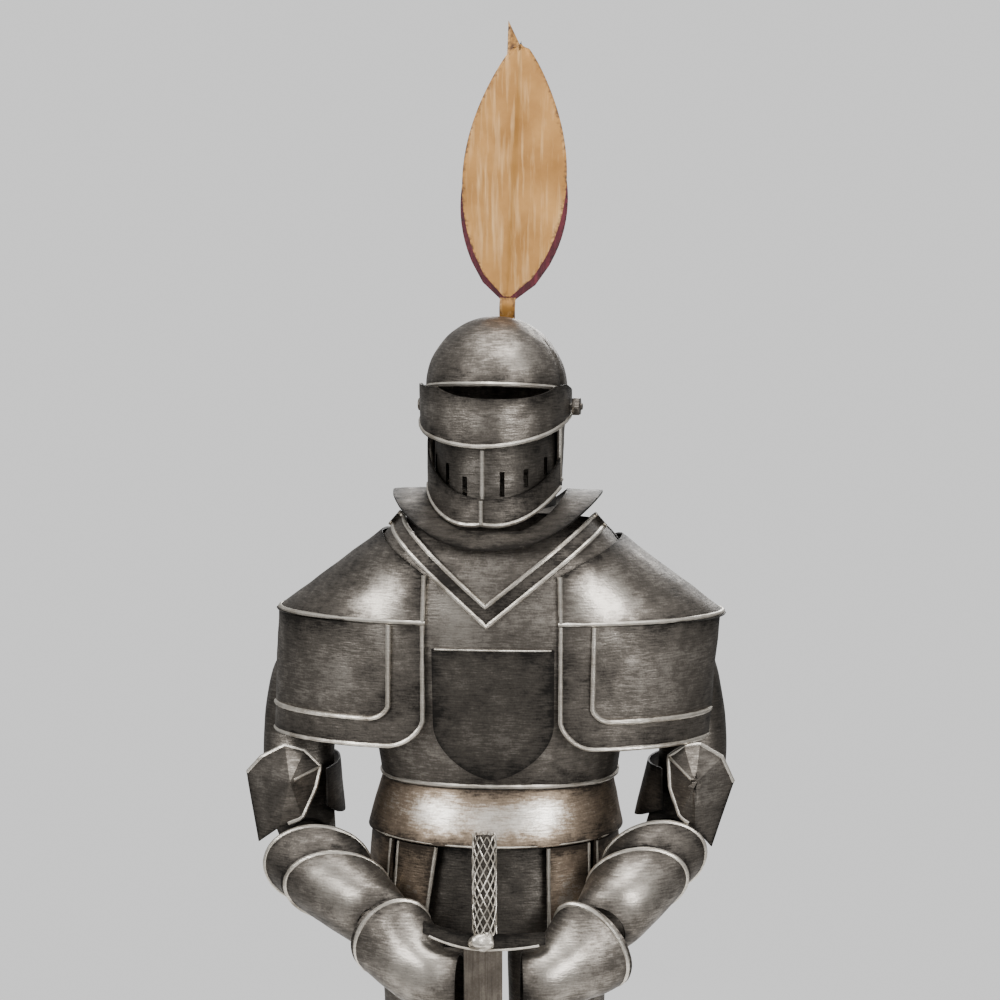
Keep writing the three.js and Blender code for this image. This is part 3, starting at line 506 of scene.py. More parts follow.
def trunk(z):
    """Half width, half depth and squareness of the trunk at a height."""
    rows = [row for row in trunk_rows if row[0] <= z] or [trunk_rows[0]]
    i = min(len(rows) - 1, len(trunk_rows) - 2)
    low, high = trunk_rows[i], trunk_rows[i + 1]
    t = (z - low[0]) / (high[0] - low[0])
    return [lerp(a, b, t) for a, b in zip(low[1:], high[1:])]


def chest_y(x, z):
    a, b, squareness = trunk(z)
    reach = min(abs(x) / a, 0.995)
    return -b * (1 - reach ** squareness) ** (1 / squareness)


trunk_side = math.radians(90 - 1.2)
# Rubbed silver and painted highlights on the chest, where the front light falls above the bib.
chest_rub_and_highlight = (((-22, -56, 622), 22, 0.55), ((20, -56, 622), 14, 0.25), ((0, -52, 650), 24, 0.2))
for node, turn, spots in (("breastplate", 0, chest_rub_and_highlight), ("backplate", math.pi, ())):
    def shell(u, v, turn=turn):
        z = lerp(trunk_rows[0][0], neck_z, v)
        return oval(*trunk(z), turn + lerp(-trunk_side, trunk_side, u), z)

    shell_bm = bent_sheet(shell, 80, 70, uneven=0.7, size=40, spots=spots)
    add_wire(shell_bm, edge_line(shell, 90, (0, 0.012), (1, 0.012)))
    place_piece(node, shell_bm, [iron, bright_wire], "iron")

# Bib on the chest: a thin dark sheet, square above and rounded below, lying on the breastplate.
# A darker copy of the iron: the own colour of the bib, face plate, bolt and sword fittings, and painted shade on the
# upper arms, the strips behind the elbows and the apron.
dark_iron = patinated_iron("dark_and_shaded_sheet_iron", "22201e", "57524c", "98928a")
bib_top, bib_low, bib_half, bib_x, bib_shoulder = 601, 523.5, 34, 0.8, 0.44


def bib(u, v):
    z = lerp(bib_low, bib_top, v)
    rounded = 1 - clamp(v / bib_shoulder, 0, 1)
    width = 1 + bib_half * max(1 - rounded * rounded, 0) ** 0.7 + max(v - bib_shoulder, 0)
    x = bib_x + lerp(-width, width, u)
    return Vector((x, chest_y(x, z), z))


bib_bm = bent_sheet(bib, 60, 70, lift=SHEET + 3 * GAP, uneven=0.3)
add_wire(bib_bm, [p + Vector((0, -2.2, 0)) for p in edge_line(bib, 40, (0.02, 0.995), (0.98, 0.995))], radius=0.6)
place_piece("breast_plaque", bib_bm, [dark_iron, bright_wire], "dark_iron")


# Neckline: a strip bent to a V over the chest, wired along both edges and soldered at the point.
def neckline(u, v):
    sign = -1 if u < 0.5 else 1
    t = abs(2 * u - 1)
    outer = Vector((lerp(-2.8, sign * 65, t), lerp(613.5, 669.5, t)))
    inner = Vector((lerp(-3.6, sign * 58.5, t), lerp(627, 677, t)))
    x, z = outer.lerp(inner, v)
    return Vector((x, min(chest_y(x, z), -8) - 2.8 - 6 * t ** 3, z))


neckline_bm = bent_sheet(neckline, 60, 8, uneven=0.2)
for v in (0.09, 0.91):
    add_wire(neckline_bm, edge_line(neckline, 70, (0, v), (1, v)))
place_piece("neckline_band", neckline_bm, [iron, bright_wire], "iron")

# Shoulders: a cap pulled over the trunk, a plate hanging from its rim and a shorter plate on that.
# Plate and short plate reach from the front round to the outer side, with a rounded lower corner in front.
cap_inner, cap_outer, cap_depth, cap_rim = 39, 135.5, 57, 616.8
plate_low, lame_low = 541, 557.5
plan_steps = 400
plan_line = [
    Vector((lerp(cap_inner, cap_outer, spow(math.sin(math.pi * i / plan_steps), 1.07)),
            -cap_depth * spow(math.cos(math.pi * i / plan_steps), 1.07), 0))
    for i in range(plan_steps + 1)
]
plan_lengths = [0.0]
for a, b in zip(plan_line, plan_line[1:]):
    plan_lengths.append(plan_lengths[-1] + (b - a).length)
plan_length = plan_lengths[-1]


def plan(u):
    """The shoulder's outline seen from above, at share u of its length from front to back."""
    target = clamp(u, 0, 1) * plan_length
    i = max(1, next((k for k, length in enumerate(plan_lengths) if length >= target), plan_steps))
    t = (target - plan_lengths[i - 1]) / (plan_lengths[i] - plan_lengths[i - 1])
    return plan_line[i - 1].lerp(plan_line[i], t)


# The last entry of each row lays rubbed silver and painted highlights on the front of the cap and plates.
for name, sign, lean, crown, cap_rub_and_highlight in (
    ("left", -1, (1.5, -1.5), (31, 20.5), (((-64, -52, 622), 16, 0.8), ((-88, -50, 580), 12, 0.4))),
    ("right", 1, (3.5, 10), (34, 18), (((62, -52, 628), 20, 0.9), ((80, -50, 580), 10, 0.2))),
):
    def cap(u, v):
        s = math.sin(math.pi * clamp(u, 0, 1))
        rim = plan(u)
        top = Vector((cap_inner + crown[0] * s, -55.5 * math.cos(math.pi * clamp(u, 0, 1)), 643.5 + crown[1] * s))
        x, y = lerp(rim.x, top.x, v), lerp(rim.y, top.y, v)
        return Vector((sign * x, y, lerp(cap_rim - WIRE, top.z, v)))

    def hanging(start, top, low, corner):
        length = plan_length * (0.49 - start)
        share = corner / length

        def surface(u, v):
            point = plan(lerp(start, 0.49, u))
            reach = 1 - clamp(u / share, 0, 1)
            z = lerp(low + corner * (1 - math.sqrt(1 - reach * reach * 0.98)), top, v)
            inward = lerp(*lean, (cap_rim - z) / (cap_rim - plate_low)) * (point.x - cap_inner)
            return Vector((sign * (point.x - inward / (cap_outer - cap_inner)), point.y, z))

        return surface, WIRE / length

    cap_bm = bent_sheet(cap, 80, 30, uneven=0.9, size=36, spots=cap_rub_and_highlight)
    add_wire(cap_bm, edge_line(cap, 110, (0, 0.03), (1, 0.03)))
    for u in (0.006, 0.994):
        add_wire(cap_bm, edge_line(cap, 16, (u, 0.03), (u, 1)))
    place_piece(f"{name}_pauldron_cap", cap_bm, [iron, bright_wire], "iron")

    hang_top = cap_rim - WIRE - 2 * GAP
    for part, start, low, corner, lift in (("plate", 0, plate_low, 24, 0), ("lame", 0.084, lame_low, 14, -2.3)):
        surface, wire_u = hanging(start, hang_top, low, corner)
        lift = lift * sign
        hanging_bm = bent_sheet(surface, 90, 30, lift=lift, uneven=0.6, size=26, spots=cap_rub_and_highlight)
        outward = [Vector((0, 0, 0)), Vector((0, -2.3, 0))][part == "lame"]
        inner_edge = edge_line(surface, 14, (wire_u, 1), (wire_u, 0.03))
        lower_edge = edge_line(surface, 90, (wire_u, 0.02), (0.99, 0.02))
        add_wire(hanging_bm, [p + outward for p in inner_edge + lower_edge[1:]])
        place_piece(f"{name}_pauldron_{part}", hanging_bm, [iron, bright_wire], "iron")

# Waist band: a flared collar below the trunk, heated tan by the soldering, with rubbed silver and
# painted highlights on its front.
# The skirt plates hang inside it round an open front, where a dark apron sheet shows, darkened as painted shade.
band_low, band_x, band_side, band_depth = 485.5, -2.5, 76.5, 68.5
skirt_top, skirt_low = 484, 424
heated_iron = patinated_iron("heated_sheet_iron", "3a332c", "8a7a69", "e6e0d6", warmth="c49a72")


def band(u, v):
    z = lerp(band_low, waist_z - WIRE - GAP - 0.2, v)
    t = (waist_z - z) / (waist_z - band_low)
    point = oval(lerp(68.5, band_side, t ** 0.9), lerp(53, band_depth, t), 2.1, u * TAU, z)
    return point + Vector((lerp(-1.2, band_x, t), 0, 0))


def add_heat(bm, spots):
    """Marks where solder heat has turned the iron tan."""
    heat = bm.verts.layers.float.new("heat")
    for vert in bm.verts:
        for place, radius, amount in spots:
            vert[heat] += amount * math.exp(-((vert.co - Vector(place)).length / radius) ** 2)


# The spots lay rubbed silver and painted highlights on the front, left and right.
band_bm = bent_sheet(band, 120, 18, uneven=0.5, size=22,
                     spots=(((-32, -60, 503), 14, 1.0), ((32, -60, 503), 16, 1.0), ((0, -64, 500), 14, 0.4)))
add_heat(band_bm, (((-52, -50, 498), 14, 1.0), ((4, -66, 500), 14, 1.0), ((-20, -64, 490), 8, 0.5)))
add_wire(band_bm, edge_line(band, 120, (0, 0.02), (1, 0.02)), radius=0.7, loop=True)
place_piece("waist_band", band_bm, [heated_iron, bright_wire], "warm_iron")


def skirt_point(turn, z, inset):
    flare = (band_low - z) / (band_low - skirt_low)
    side, depth = band_side - inset + 4 * flare, band_depth - inset + 4 * flare
    return oval(side, depth, 2.1, math.radians(turn), z) + Vector((band_x - 2 * flare, 0, 0))


skirt_plates = {
    "fauld_front_left": (-21.7, -26.2, -45.5, 2.3), "fauld_front_right": (27.2, 28, 52, 2.3),
    "fauld_side_left": (-48.5, -48.5, -128, 2.3), "fauld_side_right": (55, 55, 128, 2.3),
    "fauld_back": (131, 131, 229, 2.3), "fauld_apron": (-36, -36, 38, 9),
}
for node, (top_from, low_from, to, inset) in skirt_plates.items():
    def skirt(u, v):
        return skirt_point(lerp(lerp(low_from, top_from, v), to, u), lerp(skirt_low, skirt_top, v), inset)

    skirt_bm = bent_sheet(skirt, 40, 30, uneven=0.5, size=20)
    centre = skirt(0.5, 0.75)
    add_heat(skirt_bm, ((centre, 22, 1.0),) if "front" in node else ())
    if node != "fauld_apron":
        for u in (0.03, 0.97):
            add_wire(skirt_bm, edge_line(skirt, 20, (u, 0), (u, 1)), radius=1.2)
    # The apron takes the darker iron: painted shade, for it sits back in the opening between the front plates.
    apron = node == "fauld_apron"
    place_piece(node, skirt_bm, [dark_iron if apron else heated_iron, bright_wire], "dark_iron" if apron else "warm_iron")

# Arms: a dark tube from the shoulder to the elbow, a short cuff, a forearm and a closed hand, each a
# tapering sleeve with a wire round its mouth. The elbow has a faceted cop and a strip bent behind it.
# The tube and the strip are dark as painted shade, for they sit in under the shoulder and the elbow.
arms = {
    "left": {
        "upper_arm": [
            [(-104, 14, 607), (17, 0, 0), (0, 17, 0)], [(-121, 20, 575), (20, 0, 0), (0, 18, 0)],
            [(-126, 18, 532), (21.5, 0, 0), (0, 19, 3)], [(-122, -2, 500), (20, 0, 0), (0, 13, 13)],
            [(-112, -28, 475), (15, 0, 0), (0, 4, 15)]],
        "elbow_cuff": [[(-107, -36, 465.5), (31.6, 2, 0), (0, -5, 25)], [(-95.5, -49, 458.5), (28, 2, 0), (0, -5, 19)]],
        "vambrace": [
            [(-94, -53, 458.4), (31.3, 2, 0), (0, -7, 22)], [(-66, -75, 444.3), (21.3, 4, 0), (0, -7, 20.2)],
            [(-59.5, -78.5, 440.2), (16.5, 5, 0), (0, -5.5, 16)]],
        "gauntlet": [
            [(-57, -82, 437), (21.5, 5, 2), (4, -5, 23)], [(-41.5, -90, 424), (14, 12, 2), (3, -4, 22)],
            [(-28, -98, 415), (5, 14, 0), (1, -2, 20.5)], [(-14.3, -100, 412), (2, 13, 0), (0, 0, 20)]],
        "cop": (-121, -47, 517.5),
        "corners": [
            (-151.5, -22, 517.6), (-142, -25, 527.9), (-127.3, -27, 535.8), (-115.3, -28, 533),
            (-105.7, -28, 523.5), (-108.4, -32, 510.7), (-115.8, -38, 493.4), (-129.2, -39, 488), (-143.1, -30, 477)],
        "wing": [(-102, -27, 0), (-99.5, -14, 0), (-99, 4, 0), (-104, 24, 0), (-114, 38, 0)],
        "wing_low": 490, "wing_high": 522, "wing_flare": 3,
        "spots": (((-98, -75, 470), 16, 0.8), ((-80, -85, 455), 14, 0.6), ((-40, -112, 425), 18, 1.0)),
    },
    "right": {
        "upper_arm": [
            [(104, 14, 607), (17, 0, 0), (0, 17, 0)], [(112.5, 20, 575), (18.5, 0, 0), (0, 18, 0)],
            [(116.6, 18, 532), (20, 0, 0), (0, 19, 3)], [(113, -2, 504), (19, 0, 0), (0, 13, 13)],
            [(102, -28, 480), (15, 0, 0), (0, 4, 15)]],
        "elbow_cuff": [[(95.3, -36, 474), (30, 2, 4), (0, -5, 23)], [(87, -49, 465.5), (27, 2, 2), (0, -5, 20)]],
        "vambrace": [
            [(86.6, -53, 465.5), (29.5, 2, 3), (0, -7, 21)], [(70.5, -74.5, 448), (20.8, -4, 0), (0, -7, 19.4)],
            [(63, -79, 440.6), (16.5, -5, 0), (0, -5.5, 16)]],
        "gauntlet": [
            [(61.7, -82, 435), (21.5, -5, -7), (-4, -5, 24)], [(46, -90, 424), (14, -12, -3), (-3, -4, 22)],
            [(33, -98, 414.5), (5, -14, 0), (-1, -2, 20.5)], [(21.2, -100, 412), (2, -13, 0), (0, 0, 20)]],
        "cop": (118.5, -47, 521.5),
        "corners": [
            (141, -22, 517.5), (134.2, -25, 533), (121, -27, 541), (111.8, -28, 539.7), (102.4, -28, 533.5),
            (103.8, -32, 515), (109.8, -37, 499), (118.7, -40.5, 493), (128.2, -30, 480)],
        "wing": [(99, -27, 0), (92, -14, 0), (90.5, 4, 0), (96, 22, 0), (106, 36, 0)],
        "wing_low": 492, "wing_high": 526, "wing_flare": -8,
        "spots": (((85, -80, 468), 16, 0.5), ((75, -92, 452), 14, 0.6), ((40, -112, 428), 16, 0.9)),
    },
}
for name, arm in arms.items():
    # The upper arm takes the darker iron: painted shade, for it sits in under the shoulder and inside the cuff.
    add_sleeve(f"{name}_upper_arm", arm["upper_arm"], wired=(), finish=dark_iron, slot="dark_iron", along=50)
    add_sleeve(f"{name}_elbow_cuff", arm["elbow_cuff"], wired=(0.05,), along=20)
    # The arm's spots lay rubbed silver and painted highlights on the forearm and the hand.
    add_sleeve(f"{name}_vambrace", arm["vambrace"], wired=(0.035,), spots=arm["spots"], along=50)
    add_sleeve(f"{name}_gauntlet", arm["gauntlet"], wired=(0.035,), spots=arm["spots"], uneven=1.4, along=50)
    creases = (4,)
    faceted_cop(f"{name}_couter", arm["cop"], arm["corners"], wired=(0, 6.6), creases=creases)

    def wing(u, v):
        point = through(arm["wing"], u)
        middle = math.sin(math.pi * u)
        z = lerp(arm["wing_low"] + 9 * (1 - middle), arm["wing_high"], v)
        return Vector((point.x + arm["wing_flare"] * (1 - v) * middle, point.y, z))

    # The strip behind the elbow takes the darker iron: painted shade, for it sits in under the cop.
    wing_bm = bent_sheet(wing, 50, 16, uneven=0.4)
    place_piece(f"{name}_couter_wing", wing_bm, [dark_iron], "dark_iron")

# Collar under the helmet: one sloping sheet, cut to a point at each side, plain at its edge.
helmet_turn = Matrix.Translation((-2, 0, 0)) @ Matrix.Rotation(math.radians(-6), 4, "Z")
chin_low, chin_rise = 672.2, 20
collar_x, collar_side, collar_depth, collar_front, collar_rise = -1.2, 62.8, 66.5, 660.5, 27.5


def turned(u):
    """Degrees from the front, from -180 to 180, for a share u of a turn."""
    u = (u + 1) % 1
    return (u - 1 if u > 0.5 else u) * 360


def chin_z(angle):
    dip = 3.4 * max(0, math.sin(math.radians(2 * angle if angle > 0 else -2 * angle))) if abs(angle) < 90 else 0
    return chin_low + chin_rise * abs(math.sin(math.radians(angle))) ** 2.2 - dip


def collar(u, v):
    angle = turned(u)
    swing = abs(math.sin(math.radians(angle))) ** 2.4
    inner = oval(41.5, 50.5, 2, math.radians(angle), chin_z(angle) - 2 * WIRE - 2 * GAP)
    outer = oval(collar_side, collar_depth, 2, math.radians(angle), collar_front + collar_rise * swing)
    return outer.lerp(inner, v) + Vector((collar_x, 0, 0))


collar_bm = bent_sheet(collar, 120, 16, uneven=0.5, size=24)
place_piece("gorget_collar", collar_bm, [iron, bright_wire], "iron")

# Helmet skull: a beaten dome that runs down behind the ears to the collar, its free rim wired.
skull_side, skull_depth, skull_base = 41.4, 45, 750
brow, brow_rise, brow_end, nape_start = 747.8, 5.4, 76, 86


def skull(u, v):
    angle = turned(u)
    low_brow = brow + brow_rise * (1 - (min(abs(angle), 80) / 80) ** 2)
    step = clamp((abs(angle) - brow_end) / (nape_start - brow_end), 0, 1)
    low = lerp(low_brow, chin_z(angle), step)
    arc = skull_side * math.pi / 2
    run = v * (arc + skull_base - low)
    tilt = min(run / skull_side, math.pi / 2)
    drop = max(run - arc, 0)
    reach = math.sin(tilt) * (1 - 0.05 * drop / 40)
    turn = math.radians(angle)
    return Vector((
        skull_side * reach * math.sin(turn), -skull_depth * reach * math.cos(turn),
        skull_base + skull_side * math.cos(tilt) - drop))


# The spot lays rubbed silver and a painted highlight on the front of the dome.
skull_bm = bent_sheet(skull, 144, 50, uneven=0.6, size=24, spots=(((20, -36, 770), 12, 0.7),))
add_wire(skull_bm, edge_line(skull, 150, (0, 0.975), (1, 0.975)), loop=True)
place_piece("helmet_skull", skull_bm, [iron, bright_wire], "iron", placing=helmet_turn)

# Visor: a bent strip that turns on the bolt and the rivet at the ears, wired along its lower edge.
visor_side, visor_depth, visor_pivot, visor_square, visor_ear = 44.2, 54, 739, 2.2, 97


def visor(u, v):
    angle = lerp(-visor_ear, visor_ear, u)
    low = 717.6 + 15 * (abs(angle) / 90) ** 1.6 + max(abs(angle) - 90, 0) * 0.4
    high = 746.5 + 6.2 * min(abs((angle - 15) / 50), 1) ** 2.6 - max(abs(angle) - 80, 0) * 0.25
    return oval(visor_side, visor_depth, visor_square, math.radians(angle), lerp(low, high, v))


# The spot lays rubbed silver and a painted highlight on the front of the visor.
visor_bm = bent_sheet(visor, 120, 20, uneven=0.5, size=24, spots=(((26, -48, 735), 14, 0.3),))
add_wire(visor_bm, edge_line(visor, 120, (0, 0.05), (1, 0.05)))
place_piece("helmet_visor", visor_bm, [iron, bright_wire], "iron", body="visor", placing=helmet_turn)

# Face plate with its breathing slots, and the wired band round the chin.
bevor_side, bevor_depth, bevor_top, bevor_bottom = 35.8, 45.5, 723, 680
slots = ((-62, 700, 711), (-38, 695, 707), (-17, 688.5, 701), (19, 688.5, 703.5), (42, 693.5, 704.5), (66, 700, 710))


def bevor(u, v):
    return oval(bevor_side, bevor_depth, 2, math.radians(lerp(-88, 88, u)), lerp(bevor_bottom, bevor_top, v))


bevor_bm = bent_sheet(bevor, 176, 44, uneven=0.3)
gone = []
for face in bevor_bm.faces:
    middle = face.calc_center_median()
    angle = math.degrees(math.atan2(middle.x / bevor_side, -middle.y / bevor_depth))
    if any(abs(angle - at) < 2.6 and low < middle.z < high for at, low, high in slots):
        gone.append(face)
bmesh.ops.delete(bevor_bm, geom=gone, context="FACES")
add_wire(bevor_bm, [Vector((0.4, -bevor_depth - 0.8, z)) for z in range(682, 717, 2)], radius=1.3)
place_piece("helmet_bevor", bevor_bm, [dark_iron, bright_wire], "dark_iron", placing=helmet_turn)

chin_side, chin_depth, chin_end = 40.4, 48.5, 80


def chin(u, v):
    angle = lerp(-chin_end, chin_end, u)
    top = 687.6 + 30 * ((angle - 8) / 85) ** 2
    return oval(chin_side, chin_depth, 2, math.radians(angle), lerp(chin_z(angle), top, v))


chin_bm = bent_sheet(chin, 110, 14, uneven=0.3)
add_wire(chin_bm, edge_line(chin, 110, (0, 0.06), (1, 0.06)))
add_wire(chin_bm, [Vector((0.4, -chin_depth - 1.6, z)) for z in range(673, 689, 2)], radius=1.2)
place_piece("helmet_chin_band", chin_bm, [iron, bright_wire], "iron", placing=helmet_turn)


# Pivots: a bolt with a hexagon nut on the figure's left, and a plain rivet on its right.
def turned_bar(bm, radius, start, end, sides=24, ease=0.3):
    """A round or hexagonal bar along X at the pivot's height, its end edges eased."""
    place = Matrix.Translation(((start + end) / 2, 0, visor_pivot)) @ Matrix.Rotation(math.pi / 2, 4, "Y")
    made = bmesh.ops.create_cone(bm, cap_ends=True, segments=sides, radius1=radius, radius2=radius,
                                 depth=abs(end - start), matrix=place)["verts"]
    ends = [e for e in {e for v in made for e in v.link_edges} if any(len(f.verts) > 4 for f in e.link_faces)]
    bmesh.ops.bevel(bm, geom=ends, offset=ease, segments=2, profile=0.5, affect="EDGES", material=-1)


visor_face = visor_side + WIRE + GAP
skull_face = skull_side - SHEET - 5 * GAP
bolt_bm = bmesh.new()
turned_bar(bolt_bm, 2, skull_face - 1, visor_face + 1)
turned_bar(bolt_bm, 3.6, skull_face - 1.6, skull_face)
turned_bar(bolt_bm, 5.8, visor_face, visor_face + 4.6, sides=6, ease=0.5)
turned_bar(bolt_bm, 2, visor_face + 4, visor_face + 6)
place_piece("visor_bolt", bolt_bm, [dark_iron], "dark_iron", placing=helmet_turn)
rivet_bm = bmesh.new()
turned_bar(rivet_bm, 2, -skull_face + 1, -visor_face - 1)
turned_bar(rivet_bm, 3.6, -skull_face + 1.6, -skull_face)
turned_bar(rivet_bm, 3.8, -visor_face, -visor_face - 1.8, ease=0.7)
place_piece("visor_rivet", rivet_bm, [iron], "iron", placing=helmet_turn)


# Plume: two leaves of thin sheet, rounded like a feather and folded on the midrib,
# gold in front and dark red behind, on a folded strip that runs down to the back of the skull.
def brushed_paint(name, deep, body, pale, smudge):
    """Metallic craft paint brushed on sheet: a low sheen, thin streaks, and dirt in the cuts."""
    material, tree = new_material(name)
    place = add_node(tree, "ShaderNodeTexCoord").outputs["Object"]
    drawn = add_node(tree, "ShaderNodeMapping", {"Vector": place, "Scale": (320, 320, 30)}).outputs[0]
    streak = add_node(tree, "ShaderNodeTexNoise", {"Vector": drawn, "Scale": 1.0, "Detail": 4.0}).outputs[0]
    cloud = add_node(tree, "ShaderNodeTexNoise", {"Vector": place, "Scale": 45.0, "Detail": 4.0}).outputs[0]
    fleck = add_node(tree, "ShaderNodeTexNoise", {"Vector": place, "Scale": 420.0, "Detail": 2.0}).outputs[0]
    dirt = add_node(tree, "ShaderNodeAttribute", attribute_name="edge").outputs["Fac"]
    tone = add_node(tree, "ShaderNodeMapRange", {"Value": cloud, "From Min": 0.3, "From Max": 0.7}).outputs[0]
    base = add_node(tree, "ShaderNodeMix", {0: tone, 6: colour(deep), 7: colour(body)}, data_type="RGBA").outputs[2]
    lit = add_node(tree, "ShaderNodeMapRange", {"Value": streak, "From Min": 0.5, "From Max": 0.8}).outputs[0]
    face = add_node(tree, "ShaderNodeMix", {0: lit, 6: base, 7: colour(pale)}, data_type="RGBA").outputs[2]
    soiled = add_node(tree, "ShaderNodeMath", {0: dirt, 1: fleck}, operation="MULTIPLY").outputs[0]
    soil = add_node(tree, "ShaderNodeMapRange", {"Value": soiled, "From Min": 0.36, "From Max": 0.62}).outputs[0]
    paint = add_node(tree, "ShaderNodeMix", {0: soil, 6: face, 7: colour(smudge)}, data_type="RGBA").outputs[2]
    rough = add_node(tree, "ShaderNodeMapRange", {"Value": fleck, "To Min": 0.42, "To Max": 0.6}).outputs[0]
    bump = add_node(tree, "ShaderNodeBump", {"Height": streak, "Strength": 0.2, "Distance": 0.0003}).outputs[0]
    coat = add_node(tree, "ShaderNodeBsdfPrincipled",
                    {"Base Color": paint, "Metallic": 0.35, "Roughness": rough, "Normal": bump})
    finish_material(tree, coat.outputs[0])
    return material


gold_paint = brushed_paint("gold_craft_paint", "9a6a2c", "bd8a48", "d6ac74", "5e4026")
red_paint = brushed_paint("dark_red_craft_paint", "420c18", "5c1424", "7a2434", "240810")
plume_x, plume_y, plume_foot, plume_tip = 3, 24, 803, 955.5
plume_fold = math.radians(14)
plume_lean = math.radians(3.2)
slit_slant = 0.75


def leaf_edge(t, half):
    t = clamp(t, 0, 1)
    return half * math.sin(math.pi * t ** 0.92) ** 0.72 + 2.2 * (1 - t)


def leaf(length, half, slits, depth, thick):
    """A leaf in its own plane: rows run out from the midrib, and each slit is a close pair of rows that stay joined."""
    rows = []
    for i in range(slits):
        at = 0.1 + 0.74 * i / slits
        step = 0.74 / slits
        rows += [(at, False), (at + 0.006, True)]
        rows += [(at + 0.006 + (step - 0.006) * k / 4, False) for k in range(1, 4)]
    rows = [(0, False), (0.05, False)] + rows + [(t, False) for t in (0.85, 0.89, 0.93, 0.965, 1)]
    columns = 12
    bm = bmesh.new()
    for side in (-1, 1):
        made = bmesh.ops.create_grid(bm, x_segments=columns, y_segments=len(rows) - 1, size=0.5)["verts"]
        gaps = []
        for vert in made:
            u, row = vert.co.x + 0.5, round((vert.co.y + 0.5) * (len(rows) - 1))
            v, opened = rows[row]
            if opened and u < 1 - depth + 0.01:
                v = rows[row - 1][0]
            slant = slit_slant * math.sin(math.pi * clamp(v * 1.02, 0, 1)) ** 0.5
            reach = leaf_edge(v, half)
            for _ in range(3):
                reach = leaf_edge(v + slant * reach * u / length, half)
            x, z = u * reach, v * length + slant * u * reach
            z = min(z, length * (1 - 0.02 * u))
            curl = 0.5 * noise.noise(Vector((side * 3, v * 14, u * 1.5))) * u
            vert.co = (side * x * math.cos(plume_fold), x * math.sin(plume_fold) + curl, z)
        for face in {face for vert in made for face in vert.link_faces}:
            us = [abs(v.co.x) for v in face.verts]
            gaps.append(face)
        bmesh.ops.remove_doubles(bm, verts=[v for v in made if v.is_valid], dist=0.002)
    return bm, rows


for node, finish, slot_name, length, half, slits, back, drop in (
    ("plume_leaf_gold", gold_paint, "gold_paint", plume_tip - plume_foot, 31.5, 10, 0, 0),
    ("plume_leaf_red", red_paint, "red_paint", (plume_tip - plume_foot) * 0.86, 32.5, 7, 4.2, 4),
):
    leaf_bm, _ = leaf(length, half, slits, 0.55, 1)
    bmesh.ops.remove_doubles(leaf_bm, verts=leaf_bm.verts, dist=0.01)
    mark_edges(leaf_bm, 5)
    leaf_bm.normal_update()
    bmesh.ops.recalc_face_normals(leaf_bm, faces=leaf_bm.faces)
    bmesh.ops.solidify(leaf_bm, geom=leaf_bm.verts[:] + leaf_bm.edges[:] + leaf_bm.faces[:], thickness=1)
    placing = Matrix.Translation((plume_x - 1, plume_y + back, plume_foot - drop)) @ Matrix.Rotation(plume_lean, 4, "Y")
    place_piece(node, leaf_bm, [finish], slot_name, placing=placing)

stem_line = [(2.6, 24.4, 802.3), (2.2, 24.8, 796.5), (1.8, 30, 788), (1.5, 38.8, 777.5), (1.5, 45, 765)]


def stem(u, v):
    return through(stem_line, v) + Vector((lerp(-4.6, 4.6, u), 3 * abs(u - 0.5) - 1, 0))


place_piece("plume_stem", bent_sheet(stem, 16, 40, uneven=0.1), [gold_paint], "gold_paint")

# Sword: a flat blade with bevelled edges, a bent guard with a wire along its lower edge, and a grip rolled
# from expanded mesh over a dark core, soldered at the foot.
sword_x, sword_y, guard_z, guard_half = 0.2, -104, 440.4, 35
grip_top, grip_radius, blade_width, blade_thick = 503.5, 7.2, 22, 4
blade_iron = patinated_iron("brushed_blade_iron", "3a3530", "6e665d", "a49c90", grain=(1100, 1100, 40))
tip_z, taper_z, blade_top = sole, sole + 46, guard_z - 4 - GAP
blade_bm = bmesh.new()
bmesh.ops.create_cube(blade_bm, size=1)
bmesh.ops.subdivide_edges(
    blade_bm, edges=[e for e in blade_bm.edges if abs((e.verts[0].co - e.verts[1].co).z) > 0.5], cuts=30,
    use_grid_fill=True)
bmesh.ops.subdivide_edges(
    blade_bm, edges=[e for e in blade_bm.edges if abs((e.verts[0].co - e.verts[1].co).x) > 0.5], cuts=3,
    use_grid_fill=True)
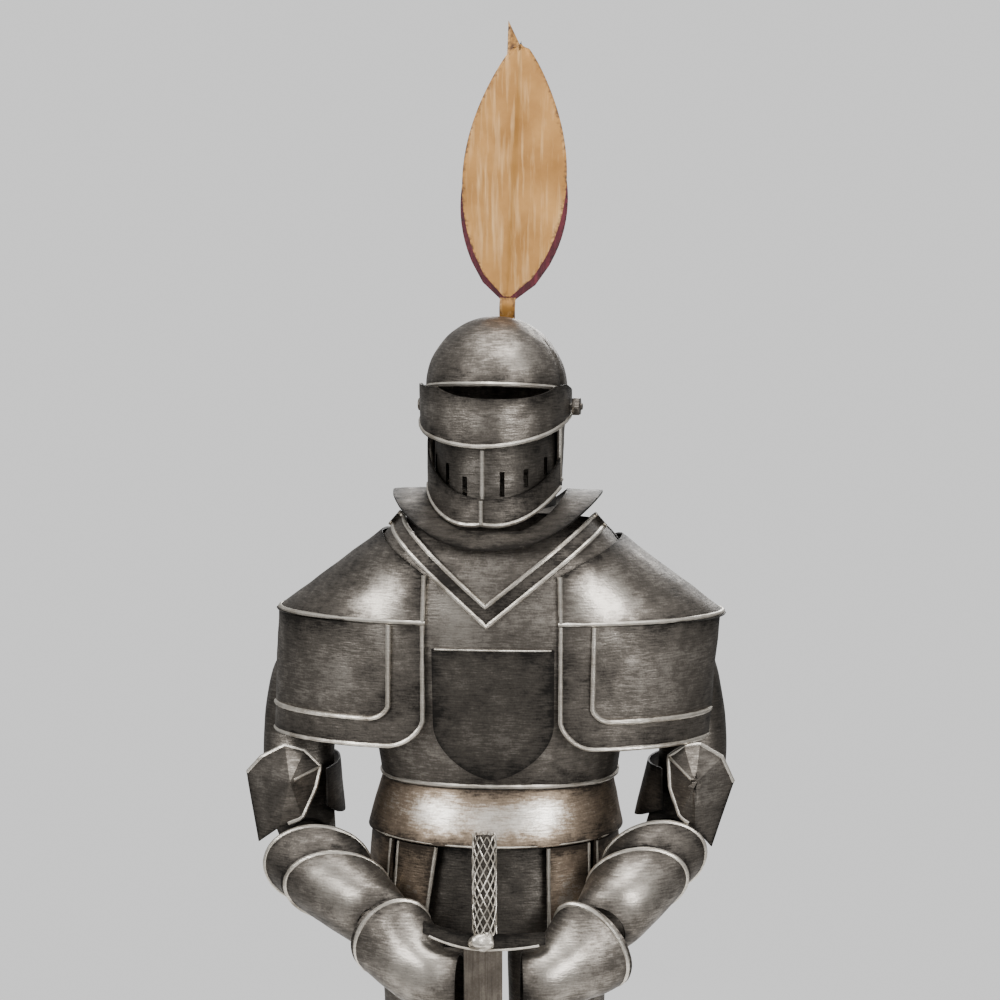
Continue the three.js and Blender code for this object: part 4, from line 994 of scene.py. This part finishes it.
for vert in blade_bm.verts:
    z = lerp(tip_z, blade_top, vert.co.z + 0.5)
    narrow = clamp((z - tip_z) / (taper_z - tip_z), 0.04, 1)
    edge = abs(vert.co.x) * 2
    thin = 1 if edge < 0.6 else 0.35
    vert.co = (sword_x - 0.8 + vert.co.x * blade_width * narrow, sword_y + vert.co.y * blade_thick * thin, z)
blade_bm.verts.layers.float.new("rub")
place_piece("sword_blade", blade_bm, [blade_iron], "blade_iron", sharp=14)


def guard(u, v):
    across = lerp(-1, 1, u)
    rise = 8 if across < 0 else 3
    return Vector((sword_x + guard_half * across, sword_y,
                   guard_z + lerp(-4, 4, v) * (1 - 0.3 * across ** 2) + rise * across ** 2))


guard_bm = bent_sheet(guard, 50, 6, thick=6, uneven=0.3)
add_wire(guard_bm, [p + Vector((0, -3, 0)) for p in edge_line(guard, 40, (0.05, 0.02), (0.95, 0.02))], radius=0.8)
add_blob(guard_bm, (sword_x - 1, sword_y - 5, guard_z + 1), 6, flat=(1.3, 0.7, 0.9))
place_piece("sword_guard", guard_bm, [dark_iron, bright_wire], "dark_iron")

strand_count = 10
diamond_height = 8.4
grip_low = guard_z + 4 + 3 * GAP
grip_bm = bmesh.new()
grip_bm.verts.layers.float.new("rub")
core = Matrix.Translation((sword_x, sword_y, (grip_low + grip_top) / 2 - 1))
bmesh.ops.create_cone(grip_bm, cap_ends=True, segments=32, radius1=5.6, radius2=5.6,
                      depth=grip_top - grip_low - 2, matrix=core)
turns = (grip_top - grip_low) / (diamond_height * strand_count)
for hand in (-1, 1):
    for i in range(strand_count):
        start = TAU * i / strand_count
        strand = []
        for k in range(31):
            angle = start + hand * TAU * turns * k / 30
            radius = grip_radius - 0.6 + 0.15 * hand
            strand.append(Vector((sword_x + radius * math.cos(angle), sword_y + radius * math.sin(angle),
                                  lerp(grip_low, grip_top - 0.4, k / 30))))
        add_wire(grip_bm, strand, radius=0.42, sides=5)
place_piece("sword_grip", grip_bm, [dark_iron, bright_wire], "dark_iron")

low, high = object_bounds()
